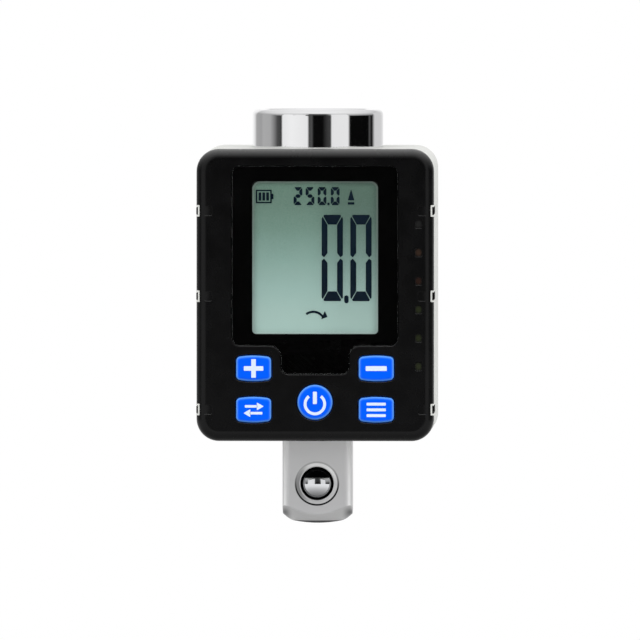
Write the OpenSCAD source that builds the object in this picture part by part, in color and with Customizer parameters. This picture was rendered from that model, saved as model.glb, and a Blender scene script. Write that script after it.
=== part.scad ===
// Digital torque adapter: a steel drive shaft with a female and a male square, and an
// electronic case round its strain-gauged neck. The origin is the centre of the female
// square at the head's top face, +Z points up out of it, and the display faces -Y.

/* [Drive shaft] */
// Half-inch drive square across its flats
square_af = 12.7; // [12.6:0.05:12.8]
// Corner radius of the male square
square_corner_r = 1.4; // [1.2:0.1:1.6]
// Length of the male square below the case
male_reach = 15.6; // [15.5:0.1:16.5]
// Clearance of the female square on its mate, across the flats
socket_clear = 0.2; // [0.15:0.05:0.25]
// Depth of the female square
socket_depth = 17; // [16:0.5:17]
// Radius of the round head that holds the female square
head_r = 12; // [11.9:0.05:12.05]
// Height of the head above the case
head_rise = 6.9; // [6.8:0.1:7]
// Rounding of the head's top rim
head_rim_r = 1; // [0.6:0.1:1.2]
// Radius of the strain-gauged neck
neck_r = 7.5; // [7.2:0.1:7.6]
// Radius of the collar that rests on the thrust washer
collar_r = 10.4; // [10.2:0.1:10.5]

/* [Detent] */
// Radius of the detent ball
ball_r = 3.175; // [3.15:0.025:3.2]
// How far the ball stands out of the square's face at rest
ball_proud = 1.05; // [1:0.05:1.1]
// How far the ball can be pushed in
ball_travel = 1; // [0.9:0.05:1]
// Height of the ball's centre above the shaft's lower end
ball_height = 7.4; // [7.2:0.1:7.6]

/* [Case] */
// Width of the case
case_w = 43.4; // [43.3:0.05:43.5]
// Height of the case
case_h = 53.4; // [53.3:0.05:53.6]
// Distance of the front face from the shaft's axis
front_reach = 20; // [19.9:0.1:20.2]
// Distance of the rear face from the shaft's axis
rear_reach = 19.4; // [19.4:0.1:19.8]
// Corner radius of the case seen from the front
case_corner_r = 4.1; // [3.8:0.1:4.4]
// Rounding of the front cover's edge
front_edge_r = 1.9; // [1.7:0.1:2]
// Rounding of the rear edge
rear_edge_r = 1.4; // [1:0.1:1.4]
// Thickness of the case walls
wall = 1.8; // [1.75:0.05:1.8]
// Depth of the front cover, back to the parting line
cover_depth = 3; // [2.9:0.1:3.1]

/* [Display] */
// Width of the glossy window
window_w = 30.4; // [30.2:0.1:30.6]
// Height of the window without its tab
window_h = 32.9; // [32.7:0.1:33]
// Distance of the window's top edge below the case top
window_drop = 3.05; // [3:0.05:3.1]
// Width of the tab under the window
tab_w = 12.6; // [12.4:0.1:12.8]
// How far the tab reaches below the window
tab_drop = 5.2; // [5:0.1:5.2]
// Width of the part of the display that shows
view_w = 23; // [22.8:0.1:23.2]
// Height of the part of the display that shows
view_h = 27.9; // [27.7:0.1:28]

/* [Buttons] */
// Width of a barrel-shaped button
button_w = 6.4; // [6.3:0.05:6.4]
// Height of a barrel-shaped button
button_h = 4.7; // [4.65:0.05:4.75]
// How far the buttons stand out of the front face
button_proud = 0.6; // [0.5:0.05:0.7]
// How far a button travels when pressed
button_travel = 0.5; // [0.4:0.05:0.5]
// Distance of the side buttons from the middle
button_spread = 11.2; // [11.1:0.05:11.2]
// Depth of the upper row below the case top
upper_row = 40.05; // [40:0.05:40.1]
// Depth of the lower row below the case top
lower_row = 47.6; // [47.55:0.05:47.65]
// Radius of the round power button
power_r = 3.2; // [3.1:0.05:3.2]
// Depth of the power button below the case top
power_row = 46.25; // [46.2:0.05:46.3]

/* [Indicator lights] */
// Distance of the light windows' middles from the case's side
light_inset = 2.8; // [2.75:0.05:2.9]
// Depth of the top light below the case top
light_top = 13.7; // [13.6:0.1:13.8]
// Spacing of the lights
light_pitch = 5.2; // [5.1:0.05:5.2]

/* [Power] */
// Radius of a cell
cell_r = 5.25; // [5:0.05:5.25]
// Length of a cell with its nub
cell_len = 44.5; // [44:0.1:44.5]

/* [Hidden] */
$fn = 64;
hull_fn = 32;
eps = 0.01;
touch = 0.05;

steel = "#b9bcc0";
smoke = "#15161a";
shell = "#dcdedc";
blue = "#0a5cf0";
board_green = "#1c5a38";

case_top = -head_rise;
case_bottom = case_top - case_h;
case_mid = case_top - case_h / 2;
front_y = -front_reach;
rear_y = rear_reach;
part_y = front_y + cover_depth;
inner_w = case_w - 2 * wall;
inner_h = case_h - 2 * wall;
inner_corner_r = case_corner_r - wall;
inner_top = case_top - wall;
inner_bottom = case_bottom + wall;
shaft_end = case_bottom - male_reach;

front_wall = 1.8;
cover_back = front_y + front_wall;
lip_w = 0.9;
lip_reach = 1.4;
lip_clear = 0.05;
lip_end = part_y + lip_reach;
lip_outer_w = inner_w - 2 * lip_clear;
lip_outer_h = inner_h - 2 * lip_clear;
lip_inner_w = lip_outer_w - 2 * lip_w;
lip_inner_h = lip_outer_h - 2 * lip_w;
lip_corner_r = inner_corner_r - lip_clear;
lip_inner_r = lip_corner_r - lip_w;

socket_af = square_af + socket_clear;
socket_corner_r = 0.5;
socket_lead_r = 9.7;
socket_lead_depth = 2.2;
drill_r = 6.2;
drill_reach = 1.2;
drill_depth = socket_depth + drill_reach;
head_web = 2.3;
head_end = -(drill_depth + head_web);
dimple_r = 3;
dimple_bite = 0.9;
dimple_z = -8;
seal_groove_r = 11.2;
seal_drop = 2.9;
seal_top = case_top - seal_drop;
seal_h = 1.5;
seal_gap = 0.05;
clip_h = 1.1;
clip_groove_r = 11.2;
clip_outer_r = 13.1;
clip_clear = 0.25;
ring_drop = 3.5;
ring_end = inner_top - ring_drop;
ring_outer_r = 13.7;
head_clear = 0.1;
head_hole_r = head_r + head_clear;
neck_fillet_r = 1.5;
neck_flat = 6.6;
collar_rise = 12.3;
collar_top = inner_bottom + collar_rise;
washer_h = 0.7;
collar_bottom = inner_bottom + washer_h;
washer_r = 8.7;
square_hole_clear = 0.2;
square_sink = 1;
crown_r = 22;
crown_reach = 4.4;
crown_turn = asin(crown_reach / crown_r);
shoulder_r = 2.6;
shoulder_turn = 40;
shoulder_x = crown_reach - shoulder_r * sin(crown_turn);
shoulder_z = crown_r - (crown_r - shoulder_r) * cos(crown_turn);
cone_x = shoulder_x + shoulder_r * sin(shoulder_turn);
cone_z = shoulder_z - shoulder_r * cos(shoulder_turn);
cone_top_r = 10;
cone_top_z = cone_z + (cone_top_r - cone_x) * tan(shoulder_turn);

ball_z = shaft_end + ball_height;
ball_y = -square_af / 2 - ball_proud + ball_r;
bore_clear = 0.08;
ball_bore_r = ball_r + bore_clear;
stake_bite = 0.1;
stake_r = ball_r - stake_bite;
stake_ring_r = 4;
stake_depth = 0.35;
stake_gap = 0.02;
ball_seat_y = ball_y - sqrt(pow(ball_r, 2) - pow(stake_r, 2)) - stake_gap;
spring_room = 1.3;
ball_bore_end = ball_travel + spring_room;
spring_wire_r = 0.22;
spring_r = 2.1;
spring_turns = 4;
spring_rings = 8;
spring_sides = 6;

window_top = case_top - window_drop;
window_mid = window_top - window_h / 2;
window_corner_r = 1.5;
window_fillet_r = 2;
window_set = 0.05;
window_t = 1;
mask_t = 0.15;
window_fit = 0.1;
window_recess = window_set + window_t + mask_t;
view_drop = 19.85;
view_mid = case_top - view_drop;
view_corner_r = 0.7;
aperture_rim = 0.7;
lcd_w = 26.4;
lcd_h = 31.4;
lcd_drop = 4.5;
lcd_top = case_top - lcd_drop;
lcd_bottom = lcd_top - lcd_h;
lcd_t = 1.8;
lcd_back = cover_back + lcd_t;
frame_rim = 0.7;
frame_clear = 0.1;
frame_ledge = 1.4;
board_side = 0.4;
board_w = inner_w - 2 * board_side;
board_drop = 7.1;
board_top = case_top - board_drop;
board_lift = 3.1;
board_bottom = case_bottom + board_lift;
board_t = 1.2;
board_corner_r = 2;
display_depth = 4;
board_y = cover_back + display_depth;
board_back = board_y + board_t;
frame_step = 1;
frame_step_y = board_y - frame_step;
frame_step_gap = 0.2;
frame_step_z = board_top - frame_step_gap;
zebra_h = 1.4;
zebra_w = 24;
zebra_lift = 0.6;

post_r = 1.75;
post_inset = 2.5;
post_x = board_w / 2 - post_inset;
post_drop = 2;
post_top = board_top - post_drop;
post_lift = 6.35;
post_bottom = board_bottom + post_lift;
screw_r = 0.8;
screw_clear = 0.02;
screw_head_r = 1.5;
screw_head_h = 1;
screw_bite = 2.6;
board_hole_r = 1.05;

button_corner_r = 0.8;
button_side_h = 4.05;
barrel_corner_steps = 5;
barrel_bow_steps = 6;
button_clear = 0.2;
flange_rim = 0.35;
flange_gap = 0.1;
flange_t = 0.7;
stem_r = 1.2;
switch_w = 4.2;
switch_t = 1.4;
switch_top = board_y - switch_t;
plunger_r = 0.9;
plunger_clear = 0.1;
press_room = 0.1;
plunger_reach = button_travel + press_room;
plunger_len = 1;
plunger_top = switch_top - plunger_reach;
switch_well = plunger_len - plunger_reach + button_travel + 1.5 * press_room;
button_arc_r = (pow(button_w / 2, 2) + pow((button_h - button_side_h) / 2, 2))
    / (button_h - button_side_h);

light_count = 6;
light_x = case_w / 2 - light_inset;
light_w = 1.3;
light_h = 1.5;
light_foot = 0.3;
light_foot_t = 0.5;
chip_w = 0.8;
chip_h = 1.6;
chip_t = 0.7;
light_slot = 3;

snap_shares = [0.2116, 0.5037, 0.8914];
snap_half = 1.05;
snap_leg = 0.3;
snap_depth = 0.6;
snap_bar = 0.3;
snap_room = 0.05;
snap_front = 0.6;
snap_bar_t = 0.7;
hook_half = 0.65;
hook_skin = 0.35;
hook_reach = 8;
hook_slot = 0.45;
dent_len = 2.1;
dent_half = 0.95;
dent_depth = 0.15;

tray_wall = 1.2;
cell_clear = 0.15;
door_t = 1.9;
door_y = rear_y - door_t;
tray_end = door_y - touch;
door_clear = 0.1;
cell_back_gap = 0.25;
cell_x = inner_w / 2 - cell_r - touch;
cell_y = door_y - cell_back_gap - cell_r;
bay_r = cell_r + cell_clear;
shaft_room_r = 12.3;
centre_wall_gap = 0.1;
centre_wall_y = shaft_room_r + centre_wall_gap;
clip_gap_angle = atan2(cell_x, cell_y) + asin((bay_r + clip_clear) / norm([cell_x, cell_y]));
nub_r = 1.9;
nub_h = 1;
cell_gap_top = 0.8;
contact_t = 0.4;
contact_pad = 2.9;
contact_tail = 1;
contact_bump_r = 2.4;
bridge_gap = 0.7;
bridge_w = 2.5;
bridge_back = door_y - bridge_gap;
bridge_front = bridge_back - bridge_w;
tag_w = 2.4;
tag_shift = 1.6;
tag_x = cell_x - tag_shift;
tag_len = 9;
tag_end = cell_y - tag_len;
cell_top_in = inner_top - cell_gap_top;
cell_low_in = inner_bottom + cell_gap_top;
coil_wire_r = 0.3;
coil_big_r = 3.2;
coil_small_r = 2.4;
coil_turns = 3;
lead_r = 0.5;
gauge_lead_r = 0.25;
gauge_lead_pitch = 1.3;
gauge_lead_bow = 3;
lead_bow = 6;
lead_rings = 12;
solder_lift = 2.4;

door_screw_z = case_mid;
door_head_r = 2.6;
door_head_h = 1.1;
door_head_clear = 0.3;
door_sink = 1.3;
door_head_gap = 0.05;
door_hole_r = 1.45;
shank_r = 1.2;
shank_clear = 0.07;
insert_r = 2.1;
insert_gap = 0.9;
insert_len = 2.8;
insert_front = door_y - insert_gap;
insert_back = insert_front - insert_len;
boss_r = 3.4;
keeper_r = 2.2;
keeper_t = 0.5;
keeper_gap = 0.1;
rib_side = 1.5;
rib_out = cell_x - bay_r - rib_side;
rib_w = 1;
rib_reach = 2.5;
rib_end_gap = 6;

buzzer_r = 6;
buzzer_h = 4.5;
buzzer_hole_r = 0.8;
buzzer_inset = 7.1;
buzzer_x = board_w / 2 - buzzer_inset;
buzzer_drop = 29.5;
main_chip_share = [-0.323, 0.414];
amplifier_share = [0.118, 0.391];
chip_part_shares = [[-0.077, 0.23], [-0.026, 0.23], [0.026, 0.23], [0.077, 0.23],
    [-0.115, 0.333], [-0.115, 0.414], [-0.115, 0.495], [0.333, 0.125], [0.385, 0.264],
    [-0.308, 0.148], [-0.231, 0.646], [-0.333, 0.646], [0.359, 0.762]];
gauge_w = 5.6;
gauge_h = 7;
gauge_t = 0.15;
gauge_z = (head_end + collar_top) / 2;

// Blocks given by their limits, and round bars along the depth
module block(x0, x1, y0, y1, z0, z1) {
    translate([x0, y0, z0]) cube([x1 - x0, y1 - y0, z1 - z0]);
}

module along_y(y0, y1) {
    translate([0, y1, 0]) rotate([90, 0, 0]) linear_extrude(height = y1 - y0) children();
}

module bar_y(r, x, z, y0, y1) {
    translate([x, y1, z]) rotate([90, 0, 0]) cylinder(r = r, h = y1 - y0);
}

module disc_z(r, z0, z1) {
    translate([0, 0, z0]) cylinder(r = r, h = z1 - z0);
}

// A rounded rectangle about the origin
module rounded(w, h, r) {
    square([w, h - 2 * r], center = true);
    square([w - 2 * r, h], center = true);
    for (sx = [-1, 1], sz = [-1, 1])
        translate([sx * (w / 2 - r), sz * (h / 2 - r)]) circle(r = r);
}

module case_plate(w, h, r, y0, y1) {
    translate([0, 0, case_mid]) along_y(y0, y1) rounded(w, h, r);
}

// The case outline with a rounded edge at y0, which may be its front or its rear
module soft_plate(r_corner, r_edge, y_edge, y_flat) {
    s = sign(y_flat - y_edge);
    y_full = y_edge + s * r_edge;
    translate([0, 0, case_mid]) hull() {
        for (sx = [-1, 1], sz = [-1, 1])
            translate([sx * (case_w / 2 - r_corner), 0, sz * (case_h / 2 - r_corner)]) {
                translate([0, y_full, 0]) rotate([90, 0, 0])
                    rotate_extrude($fn = 2 * hull_fn)
                        translate([r_corner - r_edge, 0]) intersection() {
                            circle(r = r_edge, $fn = hull_fn);
                            translate([0, s > 0 ? 0 : -r_edge]) square([r_edge, r_edge]);
                        }
                translate([0, max(y_full, y_flat), 0]) rotate([90, 0, 0])
                    cylinder(r = r_corner, h = abs(y_flat - y_full), $fn = 2 * hull_fn);
            }
    }
}

// A point of the smooth curve that leaves a towards b and reaches d from c
function curve_at(a, b, c, d, t) = pow(1 - t, 3) * a + 3 * t * pow(1 - t, 2) * b
    + 3 * pow(t, 2) * (1 - t) * c + pow(t, 3) * d;

function unit(v) = v / norm(v);

// A thin round lead along that curve, which never runs along X
module lead(a, b, c, d, r) {
    rings = lead_rings;
    sides = spring_sides;
    tick = 0.01;
    points = [for (i = [0 : rings], k = [0 : sides - 1])
        let (t = i / rings, q = 360 * k / sides,
            run = unit(curve_at(a, b, c, d, t + tick) - curve_at(a, b, c, d, t - tick)),
            u = unit(cross(run, [1, 0, 0])), v = cross(run, u))
        curve_at(a, b, c, d, t) + r * cos(q) * u + r * sin(q) * v];
    tube_solid(points, rings, sides);
}

module tube_solid(points, rings, sides) {
    walls = [for (i = [0 : rings - 1], k = [0 : sides - 1])
        let (k2 = (k + 1) % sides)
        [i * sides + k, i * sides + k2, (i + 1) * sides + k2, (i + 1) * sides + k]];
    cap_a = [[for (k = [sides - 1 : -1 : 0]) k]];
    cap_b = [[for (k = [0 : sides - 1]) rings * sides + k]];
    polyhedron(points = points, faces = concat(cap_a, walls, cap_b));
}

// One unbroken wound tube about +Z, from z = 0 to its height, its radius going from r0 to r1
module wound(r0, r1, wire, turns, height) {
    rings = turns * spring_rings;
    sides = spring_sides;
    points = [for (i = [0 : rings], k = [0 : sides - 1])
        let (t = i / rings, a = 360 * turns * t, b = 360 * k / sides,
            r = r0 + (r1 - r0) * t + wire * cos(b))
        [r * cos(a), r * sin(a), wire + (height - 2 * wire) * t + wire * sin(b)]];
    tube_solid(points, rings, sides);
}

// The window's outline with its tab, grown by a rim
module window_outline(rim = 0) {
    w = window_w + 2 * rim;
    h = window_h + 2 * rim;
    tw = tab_w + 2 * rim;
    tab_low = window_top - window_h - tab_drop - rim;
    body_low = window_mid - h / 2;
    fr = window_fillet_r - rim;
    translate([0, window_mid]) rounded(w, h, window_corner_r + rim);
    translate([0, (window_mid + tab_low) / 2]) rounded(tw, window_mid - tab_low, window_corner_r + rim);
    for (s = [-1, 1])
        difference() {
            translate([s * (tw / 2 + fr / 2 - eps / 2), body_low - fr / 2 + eps / 2])
                square([fr + eps, fr + eps], center = true);
            translate([s * (tw / 2 + fr), body_low - fr]) circle(r = fr);
        }
}

// The barrel outline of a side button, grown by a rim
module barrel(rim = 0) {
    lens_drop = button_arc_r - button_h / 2;
    corner_x = button_w / 2 - button_corner_r;
    corner_z = sqrt(pow(button_arc_r - button_corner_r, 2) - pow(corner_x, 2)) - lens_drop;
    tip = atan2(corner_z + lens_drop, corner_x);
    corner = [for (i = [0 : barrel_corner_steps])
        let (a = tip * i / barrel_corner_steps)
        [corner_x + (button_corner_r + rim) * cos(a), corner_z + (button_corner_r + rim) * sin(a)]];
    bow = [for (i = [1 : barrel_bow_steps - 1])
        let (a = tip + (180 - 2 * tip) * i / barrel_bow_steps)
        [(button_arc_r + rim) * cos(a), (button_arc_r + rim) * sin(a) - lens_drop]];
    other = [for (i = [barrel_corner_steps : -1 : 0]) [-corner[i][0], corner[i][1]]];
    upper = concat(corner, bow, other);
    polygon(concat(upper, [for (p = upper) -p]));
}

function button_place(i) = [
    [-button_spread, case_top - upper_row],
    [button_spread, case_top - upper_row],
    [-button_spread, case_top - lower_row],
    [button_spread, case_top - lower_row],
    [0, case_top - power_row]][i];

module button_outline(i, rim = 0) {
    translate(button_place(i)) {
        if (i < 4) barrel(rim);
        if (i == 4) circle(r = power_r + rim);
    }
}

module button_cap(i) {
    p = button_place(i);
    along_y(front_y - button_proud, cover_back + flange_gap + eps) button_outline(i);
    along_y(cover_back + flange_gap, cover_back + flange_gap + flange_t)
        button_outline(i, flange_rim);
    bar_y(stem_r, p[0], p[1], cover_back + flange_gap + flange_t - eps, plunger_top);
}

module plunger(i) {
    p = button_place(i);
    bar_y(plunger_r, p[0], p[1], plunger_top, plunger_top + plunger_len);
}

module male_square_body(z0, z1, af, r) {
    translate([0, 0, z0]) linear_extrude(height = z1 - z0) rounded(af, af, r);
}

// Half of the square's turned section above its end: a low crown, a rounder shoulder and a cone
module square_end() {
    top_z = collar_bottom + square_sink - shaft_end;
    intersection() {
        translate([0, crown_r]) circle(r = crown_r);
        square([crown_reach, shoulder_z + eps]);
    }
    intersection() {
        translate([shoulder_x, shoulder_z]) circle(r = shoulder_r);
        translate([crown_reach - eps, 0]) square([cone_x - crown_reach + 2 * eps, shoulder_z + eps]);
    }
    polygon([[0, shoulder_z], [cone_x, shoulder_z], [cone_x, cone_z], [cone_top_r, cone_top_z],
        [cone_top_r, top_z], [0, top_z]]);
}

// One steel piece: head with the female square, gauged neck, collar and male square
module drive_shaft() {
    color(steel) difference() {
        union() {
            rotate_extrude() difference() {
                union() {
                    translate([0, head_end]) square([head_r, -head_rim_r - head_end]);
                    translate([0, -head_rim_r - eps]) square([head_r - head_rim_r, head_rim_r + eps]);
                    translate([head_r - head_rim_r, -head_rim_r]) circle(r = head_rim_r);
                    translate([0, collar_top]) square([neck_r, head_end - collar_top + eps]);
                    translate([0, collar_bottom]) square([collar_r, collar_top - collar_bottom]);
                    difference() {
                        translate([neck_r - eps, head_end - neck_fillet_r])
                            square([neck_fillet_r + eps, neck_fillet_r + eps]);
                        translate([neck_r + neck_fillet_r, head_end - neck_fillet_r])
                            circle(r = neck_fillet_r);
                    }
                    difference() {
                        translate([neck_r - eps, collar_top - eps])
                            square([neck_fillet_r + eps, neck_fillet_r + eps]);
                        translate([neck_r + neck_fillet_r, collar_top + neck_fillet_r])
                            circle(r = neck_fillet_r);
                    }
                }
                translate([seal_groove_r, seal_top - seal_h - seal_gap])
                    square([head_r, seal_h + 2 * seal_gap]);
                translate([clip_groove_r, ring_end - clip_h - seal_gap])
                    square([head_r, clip_h + 2 * seal_gap]);
            }
            intersection() {
                male_square_body(shaft_end, collar_bottom + eps, square_af, square_corner_r);
                rotate_extrude() translate([0, shaft_end]) square_end();
            }
        }
        male_square_body(-socket_depth, eps, socket_af, socket_corner_r);
        disc_z(drill_r, -drill_depth, eps - socket_depth);
        translate([0, 0, -socket_lead_depth]) cylinder(r1 = socket_lead_r - socket_lead_depth,
            r2 = socket_lead_r + eps, h = socket_lead_depth + eps);
        for (a = [0, 90, 180, 270])
            rotate([0, 0, a]) translate([socket_af / 2 + dimple_bite - dimple_r, 0, dimple_z])
                sphere(r = dimple_r);
        for (s = [-1, 1])
            translate([-neck_r, min(s * neck_flat, s * (neck_flat + neck_r)), collar_top + neck_fillet_r])
                cube([2 * neck_r, neck_r, head_end - collar_top - 2 * neck_fillet_r]);
        bar_y(ball_bore_r, 0, ball_z, ball_seat_y, ball_bore_end);
        bar_y(stake_r, 0, ball_z, -square_af, ball_y);
        translate([0, -square_af / 2 - eps, ball_z]) rotate([-90, 0, 0])
            cylinder(r1 = stake_ring_r, r2 = stake_r, h = stake_depth + eps);
    }
}

module strain_gauges() {
    color("#c89b4a") for (s = [-1, 1])
        translate([0, s * (neck_flat + gauge_t / 2), gauge_z])
            cube([gauge_w, gauge_t, gauge_h], center = true);
}

module gauge_leads() {
    lead_y = -(neck_flat + gauge_t + gauge_lead_r);
    color("#b03a2e") for (i = [-1.5 : 1 : 1.5])
        lead([i * gauge_lead_pitch, lead_y, gauge_z], [i * gauge_lead_pitch, lead_y, gauge_z - gauge_h],
            [i * gauge_lead_pitch, board_back + gauge_lead_bow, gauge_z - gauge_h],
            [i * gauge_lead_pitch, board_back, gauge_z - gauge_h], gauge_lead_r);
}

module upper_seal() {
    seal_t = head_hole_r - seal_groove_r;
    color("#1c1c1e") translate([0, 0, seal_top - seal_h / 2]) rotate_extrude() {
        translate([seal_groove_r, -(seal_h - seal_t) / 2]) square([seal_t, seal_h - seal_t]);
        for (s = [-1, 1]) translate([seal_groove_r + seal_t / 2, s * (seal_h - seal_t) / 2])
            circle(r = seal_t / 2, $fn = hull_fn);
    }
}

module retaining_ring() {
    color("#4a4c50") translate([0, 0, ring_end - clip_h]) difference() {
        cylinder(r = clip_outer_r, h = clip_h);
        translate([0, 0, -eps]) cylinder(r = clip_groove_r, h = clip_h + 2 * eps);
        linear_extrude(height = 3 * clip_h, center = true)
            polygon([[0, 0], [2 * clip_outer_r * sin(clip_gap_angle), 2 * clip_outer_r * cos(clip_gap_angle)],
                [0, 3 * clip_outer_r],
                [-2 * clip_outer_r * sin(clip_gap_angle), 2 * clip_outer_r * cos(clip_gap_angle)]]);
    }
}

module thrust_washer() {
    color("#d8c38a") difference() {
        disc_z(collar_r, inner_bottom, collar_bottom);
        disc_z(washer_r, inner_bottom - eps, collar_bottom + eps);
    }
}

module detent_ball() {
    color("#e6e8ea") translate([0, ball_y, ball_z]) sphere(r = ball_r);
}

module detent_spring() {
    color("#8d9094") translate([0, ball_bore_end, ball_z]) rotate([90, 0, 0])
        wound(spring_r, spring_r, spring_wire_r, spring_turns, ball_bore_end - ball_y - eps
            + spring_wire_r - sqrt(pow(ball_r + spring_wire_r, 2) - pow(spring_r, 2)));
}

// The snap slots, loops and hooks, one at each level of both sides
module at_snaps() {
    for (s = [0, 1], share = snap_shares)
        mirror([s, 0, 0]) translate([case_w / 2, 0, case_top - share * case_h]) children();
}

// Flat outlines of the battery bays, seen along +Z
module bay_shape(r) {
    for (s = [-1, 1]) {
        translate([s * cell_x, cell_y]) circle(r = r);
        translate([s * cell_x - r, cell_y]) square([2 * r, tray_end - cell_y]);
    }
}

module tray_shape() {
    difference() {
        intersection() {
            union() {
                bay_shape(bay_r + tray_wall);
                translate([-cell_x + bay_r, centre_wall_y])
                    square([2 * (cell_x - bay_r), tray_wall]);
            }
            translate([-inner_w / 2 - eps, 0]) square([inner_w + 2 * eps, tray_end]);
        }
        bay_shape(bay_r);
        translate([-cell_x - bay_r, tray_end - eps]) square([2 * (cell_x + bay_r), tray_wall]);
        circle(r = shaft_room_r);
    }
}

module rear_housing() {
    color(shell) difference() {
        union() {
            difference() {
                soft_plate(case_corner_r, rear_edge_r, rear_y, part_y);
                case_plate(inner_w, inner_h, inner_corner_r, part_y - eps, rear_y + eps);
            }
            translate([0, 0, inner_bottom - eps])
                linear_extrude(height = inner_h + 2 * eps) tray_shape();
            difference() {
                disc_z(ring_outer_r, ring_end, inner_top + eps);
                translate([0, 0, ring_end - eps])
                    linear_extrude(height = inner_top - ring_end) bay_shape(bay_r + touch);
            }
            bar_y(boss_r, 0, door_screw_z, centre_wall_y, insert_front);
            at_snaps() difference() {
                block(-snap_depth, 0, front_y + snap_front, part_y + eps, -snap_half, snap_half);
                block(-snap_depth - eps, eps, front_y + snap_front + snap_bar_t, part_y + 2 * eps,
                    snap_leg - snap_half, snap_half - snap_leg);
                block(-snap_depth + snap_bar, eps, front_y, part_y, snap_leg - snap_half,
                    snap_half - snap_leg);
            }
        }
        disc_z(head_hole_r, ring_end - eps, case_top + eps);
        male_square_body(case_bottom - eps, inner_bottom + eps, square_af + square_hole_clear,
            square_corner_r - square_hole_clear / 2);
        bar_y(insert_r, 0, door_screw_z, insert_back, rear_y);
        block(-cell_x, cell_x, bridge_front - touch, bridge_back + touch,
            inner_top - contact_t - touch, inner_top);
        for (s = [-1, 1])
            block(min(s * (tag_x - tag_w / 2 - touch), s * (tag_x + tag_w / 2 + touch)),
                max(s * (tag_x - tag_w / 2 - touch), s * (tag_x + tag_w / 2 + touch)),
                tag_end, cell_y, inner_bottom, inner_bottom + contact_t + touch);
        at_snaps() block(-hook_slot, eps, part_y - eps, part_y + hook_reach + touch,
            snap_leg - snap_half, snap_half - snap_leg);
    }
}

module front_cover() {
    color(smoke) difference() {
        union() {
            difference() {
                union() {
                    soft_plate(case_corner_r, front_edge_r, front_y, part_y);
                    case_plate(lip_outer_w, lip_outer_h, lip_corner_r, part_y - eps, lip_end);
                }
                case_plate(lip_inner_w, lip_inner_h, lip_inner_r, cover_back, lip_end + eps);
                at_snaps() block(-snap_depth - snap_room, eps, front_y - eps, part_y + eps,
                    -snap_half - snap_room, snap_half + snap_room);
            }
            at_snaps() {
                block(-snap_depth - snap_room - eps, 0, front_y + snap_front + snap_bar_t + snap_room,
                    part_y, -hook_half, hook_half);
                block(-hook_skin + snap_room, 0, front_y + snap_front, part_y + hook_reach,
                    -hook_half, hook_half);
            }
            for (sx = [-1, 1], z = [post_top, post_bottom])
                bar_y(post_r, sx * post_x, z, cover_back - eps, board_y);
        }
        along_y(front_y - eps, front_y + window_recess) window_outline(window_fit);
        translate([0, 0, view_mid]) along_y(front_y, cover_back + eps)
            rounded(view_w + 2 * aperture_rim, view_h + 2 * aperture_rim, view_corner_r);
        for (i = [0 : 4]) along_y(front_y - eps, cover_back + eps) button_outline(i, button_clear);
        for (i = [0 : light_count - 1])
            light_block(i, touch, front_y - eps, cover_back + eps);
        block(lip_inner_w / 2 - eps, inner_w / 2, cover_back, lip_end + eps,
            case_top - light_top - light_pitch * (light_count - 1) - light_slot / 2,
            case_top - light_top + light_slot / 2);
        for (sx = [-1, 1], z = [post_top, post_bottom])
            bar_y(screw_r + screw_clear, sx * post_x, z, board_y - screw_bite, board_y + eps);
        at_snaps() block(-snap_depth - dent_len, -snap_depth - snap_room, front_y - eps,
            front_y + dent_depth, -dent_half, dent_half);
    }
}

module light_block(i, rim, y0, y1) {
    z = case_top - light_top - i * light_pitch;
    block(light_x - light_w / 2 - rim, light_x + light_w / 2 + rim, y0, y1,
        z - light_h / 2 - rim, z + light_h / 2 + rim);
}

module display_window() {
    color("#2b2f33", 0.6) along_y(front_y + window_set, front_y + window_set + window_t)
        window_outline();
}

module window_mask() {
    color("#050506") along_y(front_y + window_set + window_t, front_y + window_recess)
        difference() {
            window_outline();
            translate([0, view_mid]) rounded(view_w, view_h, view_corner_r);
        }
}

module lcd_glass() {
    color("#8fae9f") block(-lcd_w / 2, lcd_w / 2, cover_back, lcd_back, lcd_bottom, lcd_top);
}

module lcd_frame() {
    half = lcd_w / 2 + frame_clear;
    color("#e9e9e4") difference() {
        block(-half - frame_rim, half + frame_rim, cover_back, board_y,
            lcd_bottom - frame_clear - frame_rim, lcd_top + frame_clear + frame_rim);
        block(-half, half, cover_back - eps, lcd_back, lcd_bottom - frame_clear, lcd_top + frame_clear);
        block(frame_ledge - half, half - frame_ledge, cover_back, board_y + eps,
            lcd_bottom + zebra_lift + zebra_h + frame_ledge, lcd_top - frame_ledge);
        block(-zebra_w / 2 - touch, zebra_w / 2 + touch, cover_back, board_y + eps,
            lcd_bottom + zebra_lift - touch, lcd_bottom + zebra_lift + zebra_h + touch);
        block(-case_w, case_w, frame_step_y, board_y + eps, frame_step_z, case_top);
    }
}

module zebra_strip() {
    color("#e58ea0") block(-zebra_w / 2, zebra_w / 2, lcd_back, board_y,
        lcd_bottom + zebra_lift, lcd_bottom + zebra_lift + zebra_h);
}

module main_board() {
    color(board_green) difference() {
        translate([0, 0, (board_top + board_bottom) / 2]) along_y(board_y, board_back)
            rounded(board_w, board_top - board_bottom, board_corner_r);
        for (sx = [-1, 1], z = [post_top, post_bottom])
            bar_y(board_hole_r, sx * post_x, z, board_y - eps, board_back + eps);
    }
}

// A place on the board's back, as shares of its width from the middle and its height from the top
module on_board(share) {
    translate([share[0] * board_w, board_back, board_top - share[1] * (board_top - board_bottom)])
        children();
}

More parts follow.
